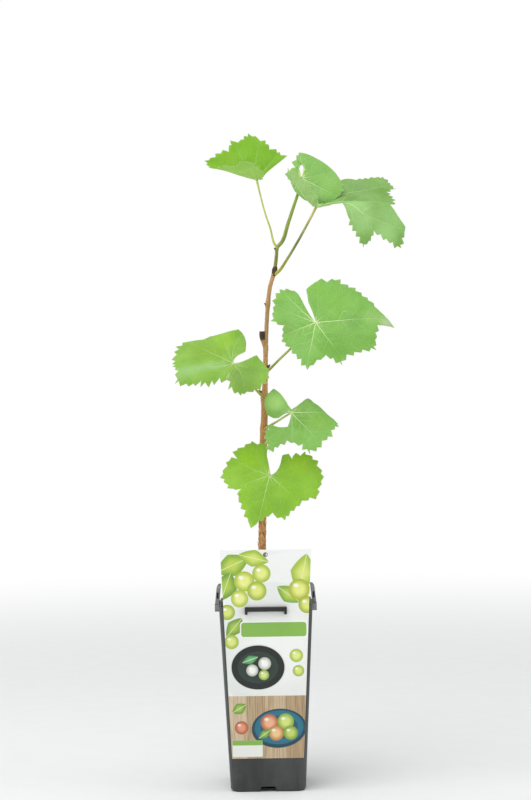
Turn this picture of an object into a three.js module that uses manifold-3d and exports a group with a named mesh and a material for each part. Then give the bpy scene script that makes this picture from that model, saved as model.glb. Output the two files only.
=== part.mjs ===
// Young grapevine in a tall square nursery pot, with a picture card hooked on the front.
// Millimetres, +Z up. The front of the plant faces -Y. The origin is the middle of the pot's flat underside.
// Left and right are as seen from the front, so left is -X.
import * as THREE from 'three';
import Module from 'manifold-3d';

const wasm = await Module();
wasm.setup();

const GAP = 0.3; // clearance left between pieces that rest on each other

// Pot: a square tapering shell, widest at the rim
const POT = {
  height: 194, halfFoot: 39.3, halfRim: 48.9, footChamfer: 1.4, corner: 10, wall: 1.6, floor: 2,
  notchWidth: 19, notchTopWidth: 14, notchHeight: 5.5, notchDepth: 7,
};
const LEDGE = { width: 43, height: 7, reach: 4.8, hookWidth: 2.1, hookDrop: 3 };
const EAR = {
  length: 30, height: 19.6, thick: 4.1, lean: 2.1, corner: 2.2,
  windowWidth: 2, windowHeight: 6.5, windowDepth: 3, windowRise: 6.5,
};
const SOIL = { top: 180, flatRadius: 14, edgeDrop: 2.5 };
const CARD = {
  widthTop: 94.4, widthBottom: 74.8, bottom: 35.5, top: 252.5, thick: 0.8, shift: -1.2,
  eyeletRadius: 1.5, eyeletBelowTop: 5,
};

// Woody stem: centre line [x, y, z] and radius, from the soil to the top node
const STEM = [
  [-3.6, 0, 180.3, 5.4], [-3.4, 0, 196, 4.3], [-3, 0, 251, 4.1], [-1.4, 0, 310, 4], [0.1, 0, 366, 4],
  [1.7, 0, 391.7, 4.1], [2.4, 0, 413, 3.9], [3.2, 0, 424, 3.2], [5.2, 0, 461, 2.9], [6.6, 0, 483, 2.5],
  [8.6, 0, 510, 2.3], [10.5, 0, 531, 2.2], [13.4, 0, 541.6, 2.2],
];
const SPUR = {
  stemHeight: 463.5, way: [[0.2, -1.4, 464.5], [0, -1.8, 472], [-0.4, -2, 479]], radius: [1.7, 2.4],
};

// Swollen nodes and buds: centre and radius
const TOP_NODE = { at: [15, 0, 547], radius: 3 };
const UPPER_NODE = { at: [17.5, 0, 570], radius: 2.2 };
const BUDS = [{ height: 418, angle: 178, radius: 1.8 }, { height: 445, angle: -18, radius: 1.7 }];

// Green shoot and leaf stalks: where each starts, the way points of its centre line, radius low and high
const SHOOT = { way: [16.4, 0, 558], radius: [2, 1.8] };
const STALKS = [
  {
    from: UPPER_NODE, radius: [1.2, 1],
    way: [[14.2, 1, 577], [11.5, 4, 592], [6.4, 8, 609], [1.3, 13, 629]],
  },
  {
    from: UPPER_NODE, radius: [2.2, 1.6],
    way: [[24.1, 2, 579], [30.2, 5, 598], [37.5, 8, 619], [42.2, 10, 631]],
  },
  {
    from: TOP_NODE, radius: [1.5, 1.3],
    way: [[22.5, -3, 551], [32.8, -4, 566], [41.9, -5, 582], [50.8, -4, 598]],
  },
  { stemHeight: 439, radius: [1.4, 1.2], way: [[17.8, -8, 451], [29.6, -14, 462], [43.4, -19, 476]] },
  { stemHeight: 411, radius: [1.4, 1.2], way: [[-6.4, -8, 419], [-13.3, -12, 427], [-21.5, -18, 437.5]] },
  { stemHeight: 378, radius: [1.3, 1.1], way: [[9.4, -8, 382.6], [15.7, -13, 386.3], [23.2, -18, 391]] },
  { stemHeight: 357, radius: [1.3, 1.1], way: [[2.5, -12, 348.4], [4.5, -19.5, 339]] },
];

// Leaves. seat: where the stalk meets the blade. heading, rise: direction of the midrib in degrees;
// roll: turn about the midrib; turn: turn in the plane of the blade. curl: how far the two basal lobes
// close in towards each other. hub: how far along the midrib the lobes spread from.
// waves: [waves around the blade, height at 50 mm from the seat, phase].
// bends: [direction across the fold, where it starts, how wide, angle], then if it is limited to one lobe
// [..., the lobe's direction, half spread, soft edge].
// lobes: [angle from the midrib, reach] of every tip and every notch in turn around the blade.
const BLADE = { thick: 1, piece: 7.5, rings: [0.22, 0.44, 0.63, 0.82, 1] };
const LEAVES = [
  {
    seat: [-3, 16, 645.8], heading: 186, rise: 13, roll: 0, turn: 0, curl: [10, 10], hub: 0, waves: [],
    bends: [[90, 1, 12, 26], [-90, 1, 16, 64], [180, 3, 10, 36, 150, 50, 30]],
    lobes: [[-120, 57], [-114, 53.5], [-106, 56], [-99, 53], [-92, 61], [-87, 60], [-83, 64], [-75, 67.5],
      [-69, 61.5], [-62, 58], [-55, 61], [-46, 51], [-32, 56], [-23, 56], [-16, 60], [-6, 52], [12, 44],
      [26, 40], [38, 33], [52, 38], [70, 37], [88, 27], [104, 21], [122, 17], [150, 17]],
  },
  {
    seat: [44.8, 6, 645.3], heading: -4, rise: -23, roll: 66, turn: 0, curl: [24, 26], hub: 0, waves: [],
    bends: [[-90, 5, 14, -25]],
    lobes: [[-247, 27.5], [-238, 30], [-220, 25], [-212, 15], [-196, 16], [-170, 13], [-130, 13], [-95, 15],
      [-62, 18], [-34, 26.5], [-2, 44], [6, 47], [20, 43], [34, 37.5], [50, 32.5], [67, 30], [86, 30],
      [101, 30.5], [108, 27]],
  },
  {
    seat: [60.3, -2.5, 614.3], heading: 3, rise: 12, roll: 36, turn: 0, curl: [0, 0], hub: 26, waves: [],
    bends: [[0, 16, 30, -16], [-90, 1, 5, 96, -150, 45, 30], [-90, 0, 6, 30, -30, 40, 30],
      [-90, 14, 10, -78, -30, 50, 30], [180, 2, 10, 56]],
    lobes: [[-180, 26], [-178, 70], [-174, 76], [-170, 66], [-164, 50], [-155, 32], [-140, 17], [-120, 12],
      [-95, 12], [-87, 26.5], [-85, 39], [-81, 60.5], [-71, 58], [-61, 51.5], [-58, 56], [-54, 79],
      [-52, 83], [-43, 78.5], [-37, 76], [-31, 65], [-22, 56], [2, 60.5], [20, 59], [22, 72], [33, 76],
      [42, 80.5], [48, 71], [61, 53], [73, 50.5], [100, 34], [125, 35], [150, 33], [168, 28], [180, 26]],
  },
  {
    seat: [56.8, -24, 489.6], heading: -6, rise: -7, roll: 62, turn: 0, curl: [8, 8], hub: 0, waves: [],
    bends: [[0, 52, 22, -38]],
    lobes: [[-235, 40], [-230, 48], [-220, 55], [-207, 52.5], [-173, 46], [-167, 34], [-140, 41.5],
      [-123, 40], [-92, 56.5], [-68, 41.5], [-55, 58], [-43, 51], [-20, 70.5], [1, 64], [5, 87.5],
      [23, 67], [48, 59], [77, 57], [84, 51], [91, 54.5], [111, 43], [115, 25]],
  },
  {
    seat: [-29.9, -24, 447.8], heading: 182, rise: 3, roll: -52, turn: 0, curl: [50, 20], hub: 0, waves: [],
    bends: [[90, 0, 8, 30], [90, 14, 16, -52]],
    lobes: [[-126, 20.5], [-115, 30.5], [-104, 42], [-95, 47], [-70, 42.5], [-54, 44.5], [-43, 45],
      [-29, 56], [-18, 62.5], [-6, 63.5], [11, 63], [22, 63], [26, 67], [36, 52.5], [38, 45.5], [47, 43.5],
      [49, 37], [57, 34], [59, 30.5], [72, 29.5], [75, 20.5], [80, 31.5], [102, 38], [113, 37], [128, 40.5],
      [140, 44], [163, 39], [184, 31.5], [208, 27]],
  },
  {
    seat: [29.5, -22, 395.3], heading: -8, rise: -16, roll: 62, turn: 0, curl: [45, 25], hub: 0, waves: [],
    bends: [[63, 18, 12, -100, 40, 45, 20]],
    lobes: [[-130, 22], [-121, 36], [-100, 51.5], [-92, 42.5], [-81, 33.5], [-65, 37], [-58, 39],
      [-53, 50], [-36, 50.5], [-29, 47], [-17, 51], [-10, 47.5], [-1, 52], [14, 50], [28, 50], [42, 52],
      [54, 46], [62, 30], [68, 14], [100, 8], [118, 8], [129, 15], [134, 26.5], [140, 33.5], [165, 32.5],
      [181, 29.5], [206, 24.5], [220, 19], [224, 15]],
  },
  {
    seat: [6, -27, 329.6], heading: -90, rise: -68, roll: 0, turn: -20, curl: [6, 48], hub: 0,
    waves: [[5, 1.2, 200], [3, 1.5, 60]], bends: [[85, 6, 26, -14], [-80, 8, 20, 16]],
    lobes: [[-147, 34.5], [-136, 40], [-102, 45], [-97, 38], [-65, 51], [-48, 44], [-44, 34.5], [-35, 41],
      [1, 62], [23, 41.5], [37, 50.5], [72, 44], [87, 56], [109, 56.5], [125, 53], [146, 45], [150, 32],
      [168, 26.5]],
  },
];

const COLOURS = {
  pot: [0x3c3e3d, 0.5], soil: [0x3b2a1e, 0.95], card: [0xe3e6df, 0.45], stem: [0x8a5f3a, 0.85],
  bud: [0x3a2416, 0.8], shoot: [0x6f8f35, 0.55], leaf: [0x86bf55, 0.5],
};

const radians = THREE.MathUtils.degToRad;
const clamp = (value) => Math.min(1, Math.max(0, value));

const group = new THREE.Group();
function addPart(name, geometry, [color, roughness]) {
  const material = new THREE.MeshStandardMaterial({ color, roughness, metalness: 0 });
  const mesh = new THREE.Mesh(geometry, material);
  mesh.name = name;
  group.add(mesh);
}

function makeGeometry(points, faces) {
  const geometry = new THREE.BufferGeometry();
  geometry.setAttribute('position', new THREE.Float32BufferAttribute(points.flat(), 3));
  geometry.setIndex(faces.flat());
  return geometry;
}

// Closed body through a stack of rings of equally many points, counter-clockwise seen from the last ring
function loft(rings, bottomPole, topPole) {
  const count = rings[0].length;
  const points = [...rings.flat(), bottomPole ?? middle(rings[0]), topPole ?? middle(rings.at(-1))];
  const [low, high] = [points.length - 2, points.length - 1];
  const faces = [];
  for (let j = 0; j < count; j++) {
    const k = (j + 1) % count;
    for (let i = 0; i < rings.length - 1; i++) {
      const [a, b] = [i * count, (i + 1) * count];
      faces.push([a + j, a + k, b + k], [a + j, b + k, b + j]);
    }
    const last = (rings.length - 1) * count;
    faces.push([low, k, j], [high, last + j, last + k]);
  }
  return makeGeometry(points, faces);
}

function middle(ring) {
  return [0, 1, 2].map((axis) => ring.reduce((sum, point) => sum + point[axis], 0) / ring.length);
}

function toSolid(geometry) {
  const vertProperties = geometry.getAttribute('position').array;
  const triVerts = new Uint32Array(geometry.getIndex().array);
  return new wasm.Manifold(new wasm.Mesh({ numProp: 3, vertProperties, triVerts }));
}

function toGeometry(solid) {
  const mesh = solid.getMesh();
  const geometry = new THREE.BufferGeometry();
  const points = new Float32Array(mesh.numVert * 3);
  for (let i = 0; i < mesh.numVert; i++) {
    for (let axis = 0; axis < 3; axis++) points[i * 3 + axis] = mesh.vertProperties[i * mesh.numProp + axis];
  }
  geometry.setAttribute('position', new THREE.BufferAttribute(points, 3));
  geometry.setIndex(Array.from(mesh.triVerts));
  return geometry;
}

function block(x0, x1, y0, y1, z0, z1) {
  const ring = (z) => [[x0, y0, z], [x1, y0, z], [x1, y1, z], [x0, y1, z]];
  return toSolid(loft([ring(z0), ring(z1)]));
}

// Square ring with rounded corners at one height
function roundedSquare(half, corner, z) {
  const steps = 5;
  const ring = [];
  for (let quarter = 0; quarter < 4; quarter++) {
    const centre = radians(45 + 90 * quarter);
    const [cx, cy] = [Math.cos(centre), Math.sin(centre)].map((c) => Math.sign(c) * (half - corner));
    for (let i = 0; i < steps; i++) {
      const angle = radians(90 * quarter + (90 * i) / (steps - 1));
      ring.push([cx + corner * Math.cos(angle), cy + corner * Math.sin(angle), z]);
    }
  }
  return ring;
}

const between = (a, b) => [Math.min(a, b), Math.max(a, b)];
const wallHalf = (z) => POT.halfFoot + ((POT.halfRim - POT.halfFoot) * z) / POT.height;

// The same piece on the four sides of the pot, made for the right side (+X) and turned about the axis
function onSides(makeSolid, quarters) {
  return quarters.map((quarter) => makeSolid().rotate([0, 0, 90 * quarter]));
}

function makeLedge() {
  const top = POT.height;
  const low = top - LEDGE.height;
  const [inner, outer] = [wallHalf(low) - POT.wall, POT.halfRim + LEDGE.reach];
  const half = LEDGE.width / 2;
  const hook = (side) => {
    const [y0, y1] = between(side * half, side * (half - LEDGE.hookWidth));
    return block(wallHalf(low) - POT.wall / 2, outer, y0, y1, low - LEDGE.hookDrop, low + 1);
  };
  return block(inner, outer, -half, half, low, top).add(hook(1)).add(hook(-1));
}

// Upright ear standing on a side ledge, leaning in, with a blind window in each end
function makeEar() {
  const foot = POT.height - 1;
  const outer = POT.halfRim + LEDGE.reach;
  const half = EAR.length / 2;
  const ring = (rise, inset) => {
    const shift = (-EAR.lean * rise) / EAR.height;
    const [x0, x1] = [outer - EAR.thick + shift, outer + shift - inset];
    return [[x0, -half + inset, foot + rise], [x1, -half + inset, foot + rise],
      [x1, half - inset, foot + rise], [x0, half - inset, foot + rise]];
  };
  let ear = toSolid(loft([ring(0, 0), ring(EAR.height - EAR.corner, 0), ring(EAR.height, EAR.corner * 0.7)]));
  const left = outer - EAR.thick / 2 - EAR.windowWidth;
  const sill = foot + EAR.windowRise;
  for (const end of [-1, 1]) {
    const [y0, y1] = between(end * (half - EAR.windowDepth), end * (half + 1));
    ear = ear.subtract(block(left, left + EAR.windowWidth, y0, y1, sill, sill + EAR.windowHeight));
  }
  return ear;
}

function makeNotch() {
  const [low, high] = [POT.notchWidth / 2, POT.notchTopWidth / 2];
  const [x0, x1] = [wallHalf(0) - POT.notchDepth, wallHalf(0) + 3];
  const ring = (half, z) => [[x0, -half, z], [x1, -half, z], [x1, half, z], [x0, half, z]];
  return toSolid(loft([ring(low, -1), ring(low, 0), ring(high, POT.notchHeight)]));
}

function makePot() {
  const inside = (z) => roundedSquare(wallHalf(z) - POT.wall, POT.corner - POT.wall, z);
  let pot = toSolid(loft([
    roundedSquare(wallHalf(0) - POT.footChamfer, POT.corner - POT.footChamfer, 0),
    roundedSquare(wallHalf(POT.footChamfer * 2), POT.corner, POT.footChamfer * 2),
    roundedSquare(POT.halfRim, POT.corner, POT.height),
  ]));
  pot = onSides(makeLedge, [0, 1, 2, 3]).reduce((sum, ledge) => sum.add(ledge), pot);
  pot = pot.subtract(toSolid(loft([inside(POT.floor), inside(POT.height + 1)])));
  pot = onSides(makeEar, [0, 2]).reduce((sum, ear) => sum.add(ear), pot);
  return onSides(makeNotch, [0, 1, 2, 3]).reduce((rest, notch) => rest.subtract(notch), pot);
}

// Root ball filling the pot: flat where the stem stands, a little lower towards the wall
function makeRootBall() {
  const fit = (z) => roundedSquare(wallHalf(z) - POT.wall - GAP, POT.corner - POT.wall - GAP, z);
  const low = POT.floor + GAP;
  const edge = fit(SOIL.top - SOIL.edgeDrop);
  const crown = edge.map(([x, y]) => {
    const scale = SOIL.flatRadius / Math.hypot(x, y);
    return [x * scale, y * scale, SOIL.top];
  });
  return loft([fit(low), edge, crown], [0, 0, low], [0, 0, SOIL.top]);
}

// Card leaning on the front wall, its slot hooked over the front ledge
function makeCard() {
  const face = (z, depth) => -(wallHalf(z) + GAP + depth);
  const ring = (depth) => {
    const corners = [[-CARD.widthBottom / 2, CARD.bottom], [CARD.widthBottom / 2, CARD.bottom],
      [CARD.widthTop / 2, CARD.top], [-CARD.widthTop / 2, CARD.top]];
    return corners.map(([x, z]) => [x + CARD.shift, face(z, depth), z]);
  };
  const [low, half] = [POT.height - LEDGE.height, LEDGE.width / 2 + GAP];
  const [front, back] = [-POT.halfRim - 20, -POT.halfFoot];
  let card = toSolid(loft([ring(0), ring(CARD.thick)]));
  card = card.subtract(block(-half, half, front, back, low - GAP, POT.height + GAP));
  for (const side of [-1, 1]) {
    const [x0, x1] = between(side * half, side * (half - LEDGE.hookWidth - 2 * GAP));
    card = card.subtract(block(x0, x1, front, back, low - LEDGE.hookDrop - GAP, low + 1));
  }
  const eyelet = (y) => [0, 1, 2, 3, 4, 5, 6, 7].map((i) => {
    const angle = radians(45 * i);
    return [CARD.shift + CARD.eyeletRadius * Math.cos(angle), y,
      CARD.top - CARD.eyeletBelowTop + CARD.eyeletRadius * Math.sin(angle)];
  });
  return card.subtract(toSolid(loft([eyelet(back), eyelet(front)])));
}

// Points with a radius each, changing evenly from the first to the last
function withRadius(line, [low, high]) {
  return line.map((point, i) => [...point, low + ((high - low) * i) / (line.length - 1)]);
}

// Limb along a smooth line through [x, y, z, radius] points; its ends are cut flat or rounded
function makeLimb(stations, { sides, pieces, flatStart = false, flatEnd = false }) {
  const line = new THREE.CatmullRomCurve3(stations.map(([x, y, z]) => new THREE.Vector3(x, y, z)));
  line.curveType = 'centripetal';
  const radiusAt = (share) => {
    const place = share * (stations.length - 1);
    const i = Math.min(stations.length - 2, Math.floor(place));
    return stations[i][3] + (stations[i + 1][3] - stations[i][3]) * (place - i);
  };
  const rings = [];
  let across = new THREE.Vector3(0, 1, 0);
  const addRing = (centre, along, radius) => {
    across = across.clone().addScaledVector(along, -across.dot(along)).normalize();
    const other = new THREE.Vector3().crossVectors(along, across);
    rings.push(Array.from({ length: sides }, (_, i) => {
      const angle = (2 * Math.PI * i) / sides;
      return centre.clone().addScaledVector(across, radius * Math.cos(angle))
        .addScaledVector(other, radius * Math.sin(angle)).toArray();
    }));
  };
  const [start, end] = [line.getPoint(0), line.getPoint(1)];
  const startWay = flatStart ? new THREE.Vector3(0, 0, 1) : line.getTangent(0);
  const endWay = line.getTangent(1);
  const [first, last] = [radiusAt(0), radiusAt(1)];
  const dome = [radians(62), radians(30)];
  const onStart = (distance) => start.clone().addScaledVector(startWay, -distance);
  const onEnd = (distance) => end.clone().addScaledVector(endWay, distance);
  if (!flatStart) {
    for (const a of dome) addRing(onStart(first * Math.sin(a)), startWay, first * Math.cos(a));
  }
  for (let i = 0; i <= pieces; i++) {
    const share = i / pieces;
    addRing(line.getPoint(share), i === 0 ? startWay : line.getTangent(share), radiusAt(share));
  }
  if (!flatEnd) {
    for (const a of dome.toReversed()) addRing(onEnd(last * Math.sin(a)), endWay, last * Math.cos(a));
  }
  return loft(rings, onStart(flatStart ? 0 : first).toArray(), onEnd(flatEnd ? 0 : last).toArray());
}

function stemAt(height) {
  const i = STEM.findIndex((station) => station[2] > height) - 1;
  const share = (height - STEM[i][2]) / (STEM[i + 1][2] - STEM[i][2]);
  return STEM[i].map((value, axis) => value + (STEM[i + 1][axis] - value) * share);
}

// Point beside a node, or level beside the stem, from which a limb of the given radius grows towards a target
function seatBeside({ from, stemHeight }, target, radius) {
  const body = from ? [...from.at, from.radius] : stemAt(stemHeight);
  const centre = new THREE.Vector3(...body);
  const way = new THREE.Vector3(...target).sub(centre);
  if (!from) way.z = 0;
  return centre.addScaledVector(way.normalize(), body[3] + GAP + radius).toArray();
}

function makeBud(centre, radius) {
  const [around, along] = [8, 5];
  const rings = [];
  for (let i = 1; i < along; i++) {
    const angle = Math.PI * (i / along - 0.5);
    const [reach, z] = [radius * Math.cos(angle), centre[2] + radius * Math.sin(angle)];
    rings.push(Array.from({ length: around }, (_, j) => {
      const turn = (2 * Math.PI * j) / around;
      return [centre[0] + reach * Math.cos(turn), centre[1] + reach * Math.sin(turn), z];
    }));
  }
  const pole = (side) => [centre[0], centre[1], centre[2] + side * radius];
  return loft(rings, pole(-1), pole(1));
}

// Directions of a blade: along its midrib, across it, out of its upper face
function bladeAxes({ heading, rise, roll, turn }) {
  const [h, e, t, s] = [heading, rise, roll, turn].map(radians);
  const along = new THREE.Vector3(Math.cos(e) * Math.cos(h), Math.cos(e) * Math.sin(h), Math.sin(e));
  const level = new THREE.Vector3(-Math.sin(h), Math.cos(h), 0);
  const up = new THREE.Vector3().crossVectors(along, level);
  const side = level.clone().multiplyScalar(Math.cos(t)).addScaledVector(up, Math.sin(t));
  const out = up.clone().multiplyScalar(Math.cos(t)).addScaledVector(level, -Math.sin(t));
  const u = along.clone().multiplyScalar(Math.cos(s)).addScaledVector(side, Math.sin(s));
  const v = side.clone().multiplyScalar(Math.cos(s)).addScaledVector(along, -Math.sin(s));
  return [u, v, out];
}

// Roll the part of the sheet that lies beyond a line into an arc, then on along a straight
function fold([a, b, h], direction, start, width, angle) {
  if (Math.abs(angle) < 1e-5) return [a, b, h];
  const [c, s] = [Math.cos(direction), Math.sin(direction)];
  const beyond = a * c + b * s - start;
  if (beyond <= 0) return [a, b, h];
  const along = b * c - a * s;
  const arc = angle * Math.min(1, beyond / width);
  const radius = width / angle;
  const rest = Math.max(0, beyond - width);
  const across = start + (radius - h) * Math.sin(arc) + rest * Math.cos(arc);
  const height = radius - (radius - h) * Math.cos(arc) + rest * Math.sin(arc);
  return [across * c - along * s, across * s + along * c, height];
}

// Point of a blade's middle surface: angle about the hub, reach of the outline there, share of that reach
function bladePoint(leaf, axes, angle, reach, share) {
  const [low, high] = [leaf.lobes[0][0], leaf.lobes.at(-1)[0]].map(radians);
  const [curlLow, curlHigh] = leaf.curl.map(radians);
  const span = radians(80);
  const nearLow = clamp((low + span - angle) / span) ** 1.3;
  const nearHigh = clamp((angle - high + span) / span) ** 1.3;
  const turned = angle + (curlLow * nearLow - curlHigh * nearHigh) * (1 - share) ** 1.5;
  const a = leaf.hub + share * reach * Math.cos(turned);
  const b = share * reach * Math.sin(turned);
  const seen = Math.atan2(b, a);
  const wholeTurns = Math.trunc((turned - seen) / (2 * Math.PI) + 0.499 * Math.sign(turned - seen));
  const lobeAngle = leaf.hub ? seen + 2 * Math.PI * wholeTurns : angle;
  let height = 0;
  for (const [count, size, phase] of leaf.waves) {
    height += size * ((a * a + b * b) / 2500) * Math.sin(count * lobeAngle + radians(phase));
  }
  let point = [a, b, height];
  for (const [direction, start, width, degrees, lobe, spread, soft] of leaf.bends) {
    let strength = 1;
    if (lobe !== undefined) {
      const t = clamp((radians(spread + soft) - Math.abs(lobeAngle - radians(lobe))) / radians(soft));
      strength = t * t * (3 - 2 * t);
    }
    point = fold(point, radians(direction), start, width, radians(degrees) * strength);
  }
  return axes.reduce((sum, axis, i) => sum.addScaledVector(axis, point[i]), new THREE.Vector3(...leaf.seat));
}

// Outline of a leaf as [angle, reach], straight from tip to notch, no piece longer than BLADE.piece
function bladeOutline(leaf) {
  const flat = leaf.lobes.map(([degrees, reach]) => [radians(degrees), reach]);
  const outline = [flat[0]];
  for (let i = 1; i < flat.length; i++) {
    const [from, to] = [flat[i - 1], flat[i]];
    const [p, q] = [from, to].map(([angle, reach]) => [reach * Math.cos(angle), reach * Math.sin(angle)]);
    const count = Math.max(1, Math.round(Math.hypot(q[0] - p[0], q[1] - p[1]) / BLADE.piece));
    for (let j = 1; j <= count; j++) {
      const [x, y] = [0, 1].map((axis) => p[axis] + ((q[axis] - p[axis]) * j) / count);
      const angle = Math.atan2(y, x);
      const guess = from[0] + ((to[0] - from[0]) * j) / count;
      outline.push([angle + 2 * Math.PI * Math.round((guess - angle) / (2 * Math.PI)), Math.hypot(x, y)]);
    }
  }
  return outline;
}

// Thin blade: the middle surface, then the same surface shifted to both sides and closed along its edge
function makeBlade(leaf) {
  const axes = bladeAxes(leaf);
  const outline = bladeOutline(leaf);
  const closed = leaf.hub > 0;
  if (closed) outline.pop();
  const count = outline.length;
  const surface = [bladePoint(leaf, axes, 0, 0, 0)];
  for (const share of BLADE.rings) {
    for (const [angle, reach] of outline) surface.push(bladePoint(leaf, axes, angle, reach, share));
  }
  const at = (ring, j) => 1 + ring * count + (j % count);
  const faces = [];
  const edge = [];
  for (let j = 0; j < (closed ? count : count - 1); j++) {
    faces.push([0, at(0, j), at(0, j + 1)]);
    for (let ring = 0; ring < BLADE.rings.length - 1; ring++) {
      const [a, b, c, d] = [at(ring, j), at(ring + 1, j), at(ring + 1, j + 1), at(ring, j + 1)];
      faces.push([a, b, c], [a, c, d]);
    }
    edge.push([at(BLADE.rings.length - 1, j), at(BLADE.rings.length - 1, j + 1)]);
  }
  if (!closed) {
    const low = [0, ...BLADE.rings.map((_, ring) => at(ring, 0))];
    const high = [0, ...BLADE.rings.map((_, ring) => at(ring, count - 1))];
    for (let i = 0; i < low.length - 1; i++) edge.push([low[i], low[i + 1]], [high[i + 1], high[i]]);
  }
  const sheet = makeGeometry(surface.map((point) => point.toArray()), faces);
  sheet.computeVertexNormals();
  const normals = sheet.getAttribute('normal');
  const shift = (side) => surface.map((point, i) => {
    const normal = new THREE.Vector3().fromBufferAttribute(normals, i);
    return point.clone().addScaledVector(normal, side).toArray();
  });
  const total = surface.length;
  const points = [...shift(BLADE.thick / 2), ...shift(-BLADE.thick / 2)];
  const under = faces.map(([i, j, k]) => [i + total, k + total, j + total]);
  const rim = edge.flatMap(([i, j]) => [[i, i + total, j + total], [i, j + total, j]]);
  return makeGeometry(points, [...faces, ...under, ...rim]);
}

addPart('pot', toGeometry(makePot()), COLOURS.pot);
addPart('root_ball', makeRootBall(), COLOURS.soil);
addPart('picture_card', toGeometry(makeCard()), COLOURS.card);
addPart('woody_stem', makeLimb(STEM, { sides: 12, pieces: 16, flatStart: true }), COLOURS.stem);
const spurLine = [seatBeside(SPUR, SPUR.way[0], SPUR.radius[0]), ...SPUR.way.slice(1)];
const spur = makeLimb(withRadius(spurLine, SPUR.radius), { sides: 8, pieces: 4, flatEnd: true });
addPart('cut_spur', spur, COLOURS.stem);
addPart('top_node', makeBud(TOP_NODE.at, TOP_NODE.radius), COLOURS.bud);
addPart('upper_node', makeBud(UPPER_NODE.at, UPPER_NODE.radius), COLOURS.shoot);

BUDS.forEach(({ height, angle, radius }, i) => {
  const [x, y, z, stemRadius] = stemAt(height);
  const reach = stemRadius + GAP + radius;
  const centre = [x + reach * Math.cos(radians(angle)), y + reach * Math.sin(radians(angle)), z];
  addPart(`bud_${i + 1}`, makeBud(centre, radius), COLOURS.bud);
});

const shootLine = [TOP_NODE, UPPER_NODE].map((from, i) => seatBeside({ from }, SHOOT.way, SHOOT.radius[i]));
const shoot = makeLimb(withRadius(shootLine, SHOOT.radius), { sides: 10, pieces: 3 });
addPart('green_shoot', shoot, COLOURS.shoot);

STALKS.forEach((stalk, i) => {
  const leaf = LEAVES[i];
  const out = bladeAxes(leaf)[2];
  const [low, high] = stalk.radius;
  const start = seatBeside(stalk, stalk.way[0], low);
  const end = new THREE.Vector3(...leaf.seat).addScaledVector(out, -(high + GAP + BLADE.thick / 2)).toArray();
  const stations = withRadius([start, ...stalk.way, end], stalk.radius);
  addPart(`leaf_stalk_${i + 1}`, makeLimb(stations, { sides: 8, pieces: 8 }), COLOURS.shoot);
});

LEAVES.forEach((leaf, i) => addPart(`leaf_${i + 1}`, makeBlade(leaf), COLOURS.leaf));

export default group;
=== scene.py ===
# Young grapevine in a tall square pot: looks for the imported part. Metres, +Z up, front faces -Y.
# Sizes in the dictionaries are millimetres and degrees unless a note says otherwise.
import math
import random

import bmesh
import bpy
import numpy as np
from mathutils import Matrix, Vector
from mathutils.geometry import delaunay_2d_cdt


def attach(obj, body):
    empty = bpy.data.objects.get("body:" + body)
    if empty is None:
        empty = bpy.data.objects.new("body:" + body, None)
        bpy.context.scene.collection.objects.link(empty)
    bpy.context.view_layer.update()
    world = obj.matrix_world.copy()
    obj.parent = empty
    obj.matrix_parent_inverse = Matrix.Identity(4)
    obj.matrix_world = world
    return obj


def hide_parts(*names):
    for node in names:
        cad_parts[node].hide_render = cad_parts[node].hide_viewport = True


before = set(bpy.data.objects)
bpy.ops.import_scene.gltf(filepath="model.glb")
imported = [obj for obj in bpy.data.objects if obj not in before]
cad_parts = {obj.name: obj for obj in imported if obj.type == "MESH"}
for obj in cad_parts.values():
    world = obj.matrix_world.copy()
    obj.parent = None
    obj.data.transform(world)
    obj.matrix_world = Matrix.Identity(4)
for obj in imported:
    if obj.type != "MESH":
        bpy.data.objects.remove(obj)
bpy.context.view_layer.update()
mm = 0.001


def newObject(name, data):
    made = bpy.data.objects.new(name, data)
    bpy.context.collection.objects.link(made)
    return made


def ray(degrees):  # unit vector in that direction
    return math.cos(math.radians(degrees)), math.sin(math.radians(degrees))


camera = {
    "eye": (2.92, -1900, 408.7),
    "lens": 80.28, "sensor": 36,
    "roll": 0.85,  # the camera leans a little to the right
    "sight": 20,  # metres
}


def addCamera():
    data = bpy.data.cameras.new("studioCamera")
    data.lens = camera["lens"]
    data.sensor_width = camera["sensor"]
    data.clip_end = camera["sight"]
    lens = newObject("studioCamera", data)
    lens.location = Vector(camera["eye"]) * mm
    lens.rotation_euler = (math.radians(90), math.radians(camera["roll"]), 0)
    bpy.context.scene.camera = lens


addCamera()
print("camera placed")


class Wire:  # an output of a node, so that sums of sockets can be written like sums of numbers
    def __init__(self, socket):
        self.socket = socket
        self.tree = socket.id_data

    def beside(self, name):  # another output of the same node
        return Wire(self.socket.node.outputs[name])

    def __add__(self, other):
        return calc("ADD", self, other)

    def __sub__(self, other):
        return calc("SUBTRACT", self, other)

    def __rsub__(self, other):
        return calc("SUBTRACT", other, self)

    def __mul__(self, other):
        return calc("MULTIPLY", self, other)

    def __truediv__(self, other):
        return calc("DIVIDE", self, other)

    def __gt__(self, other):
        return calc("GREATER_THAN", self, other)

    def __abs__(self):
        return calc("ABSOLUTE", self)

    __radd__, __rmul__ = __add__, __mul__


def plug(node, inputs):
    for key, value in inputs.items():
        if isinstance(value, Wire):
            value.tree.links.new(value.socket, node.inputs[key])
        else:
            node.inputs[key].default_value = value


def addNode(tree, kind, inputs=None, out=0, **settings):
    node = tree.nodes.new(kind)
    for key, value in settings.items():
        setattr(node, key, value)
    plug(node, inputs or {})
    return Wire(node.outputs[out])


def treeOf(*values):
    return next(value.tree for value in values if isinstance(value, Wire))


def calc(operation, *values):
    inputs = dict(enumerate(values))
    return addNode(treeOf(*values), "ShaderNodeMath", inputs, operation=operation)


def vectorCalc(operation, *values, out=0):  # out is 1 where the answer is a number
    inputs = dict(enumerate(values))
    return addNode(treeOf(*values), "ShaderNodeVectorMath", inputs, out, operation=operation)


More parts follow.
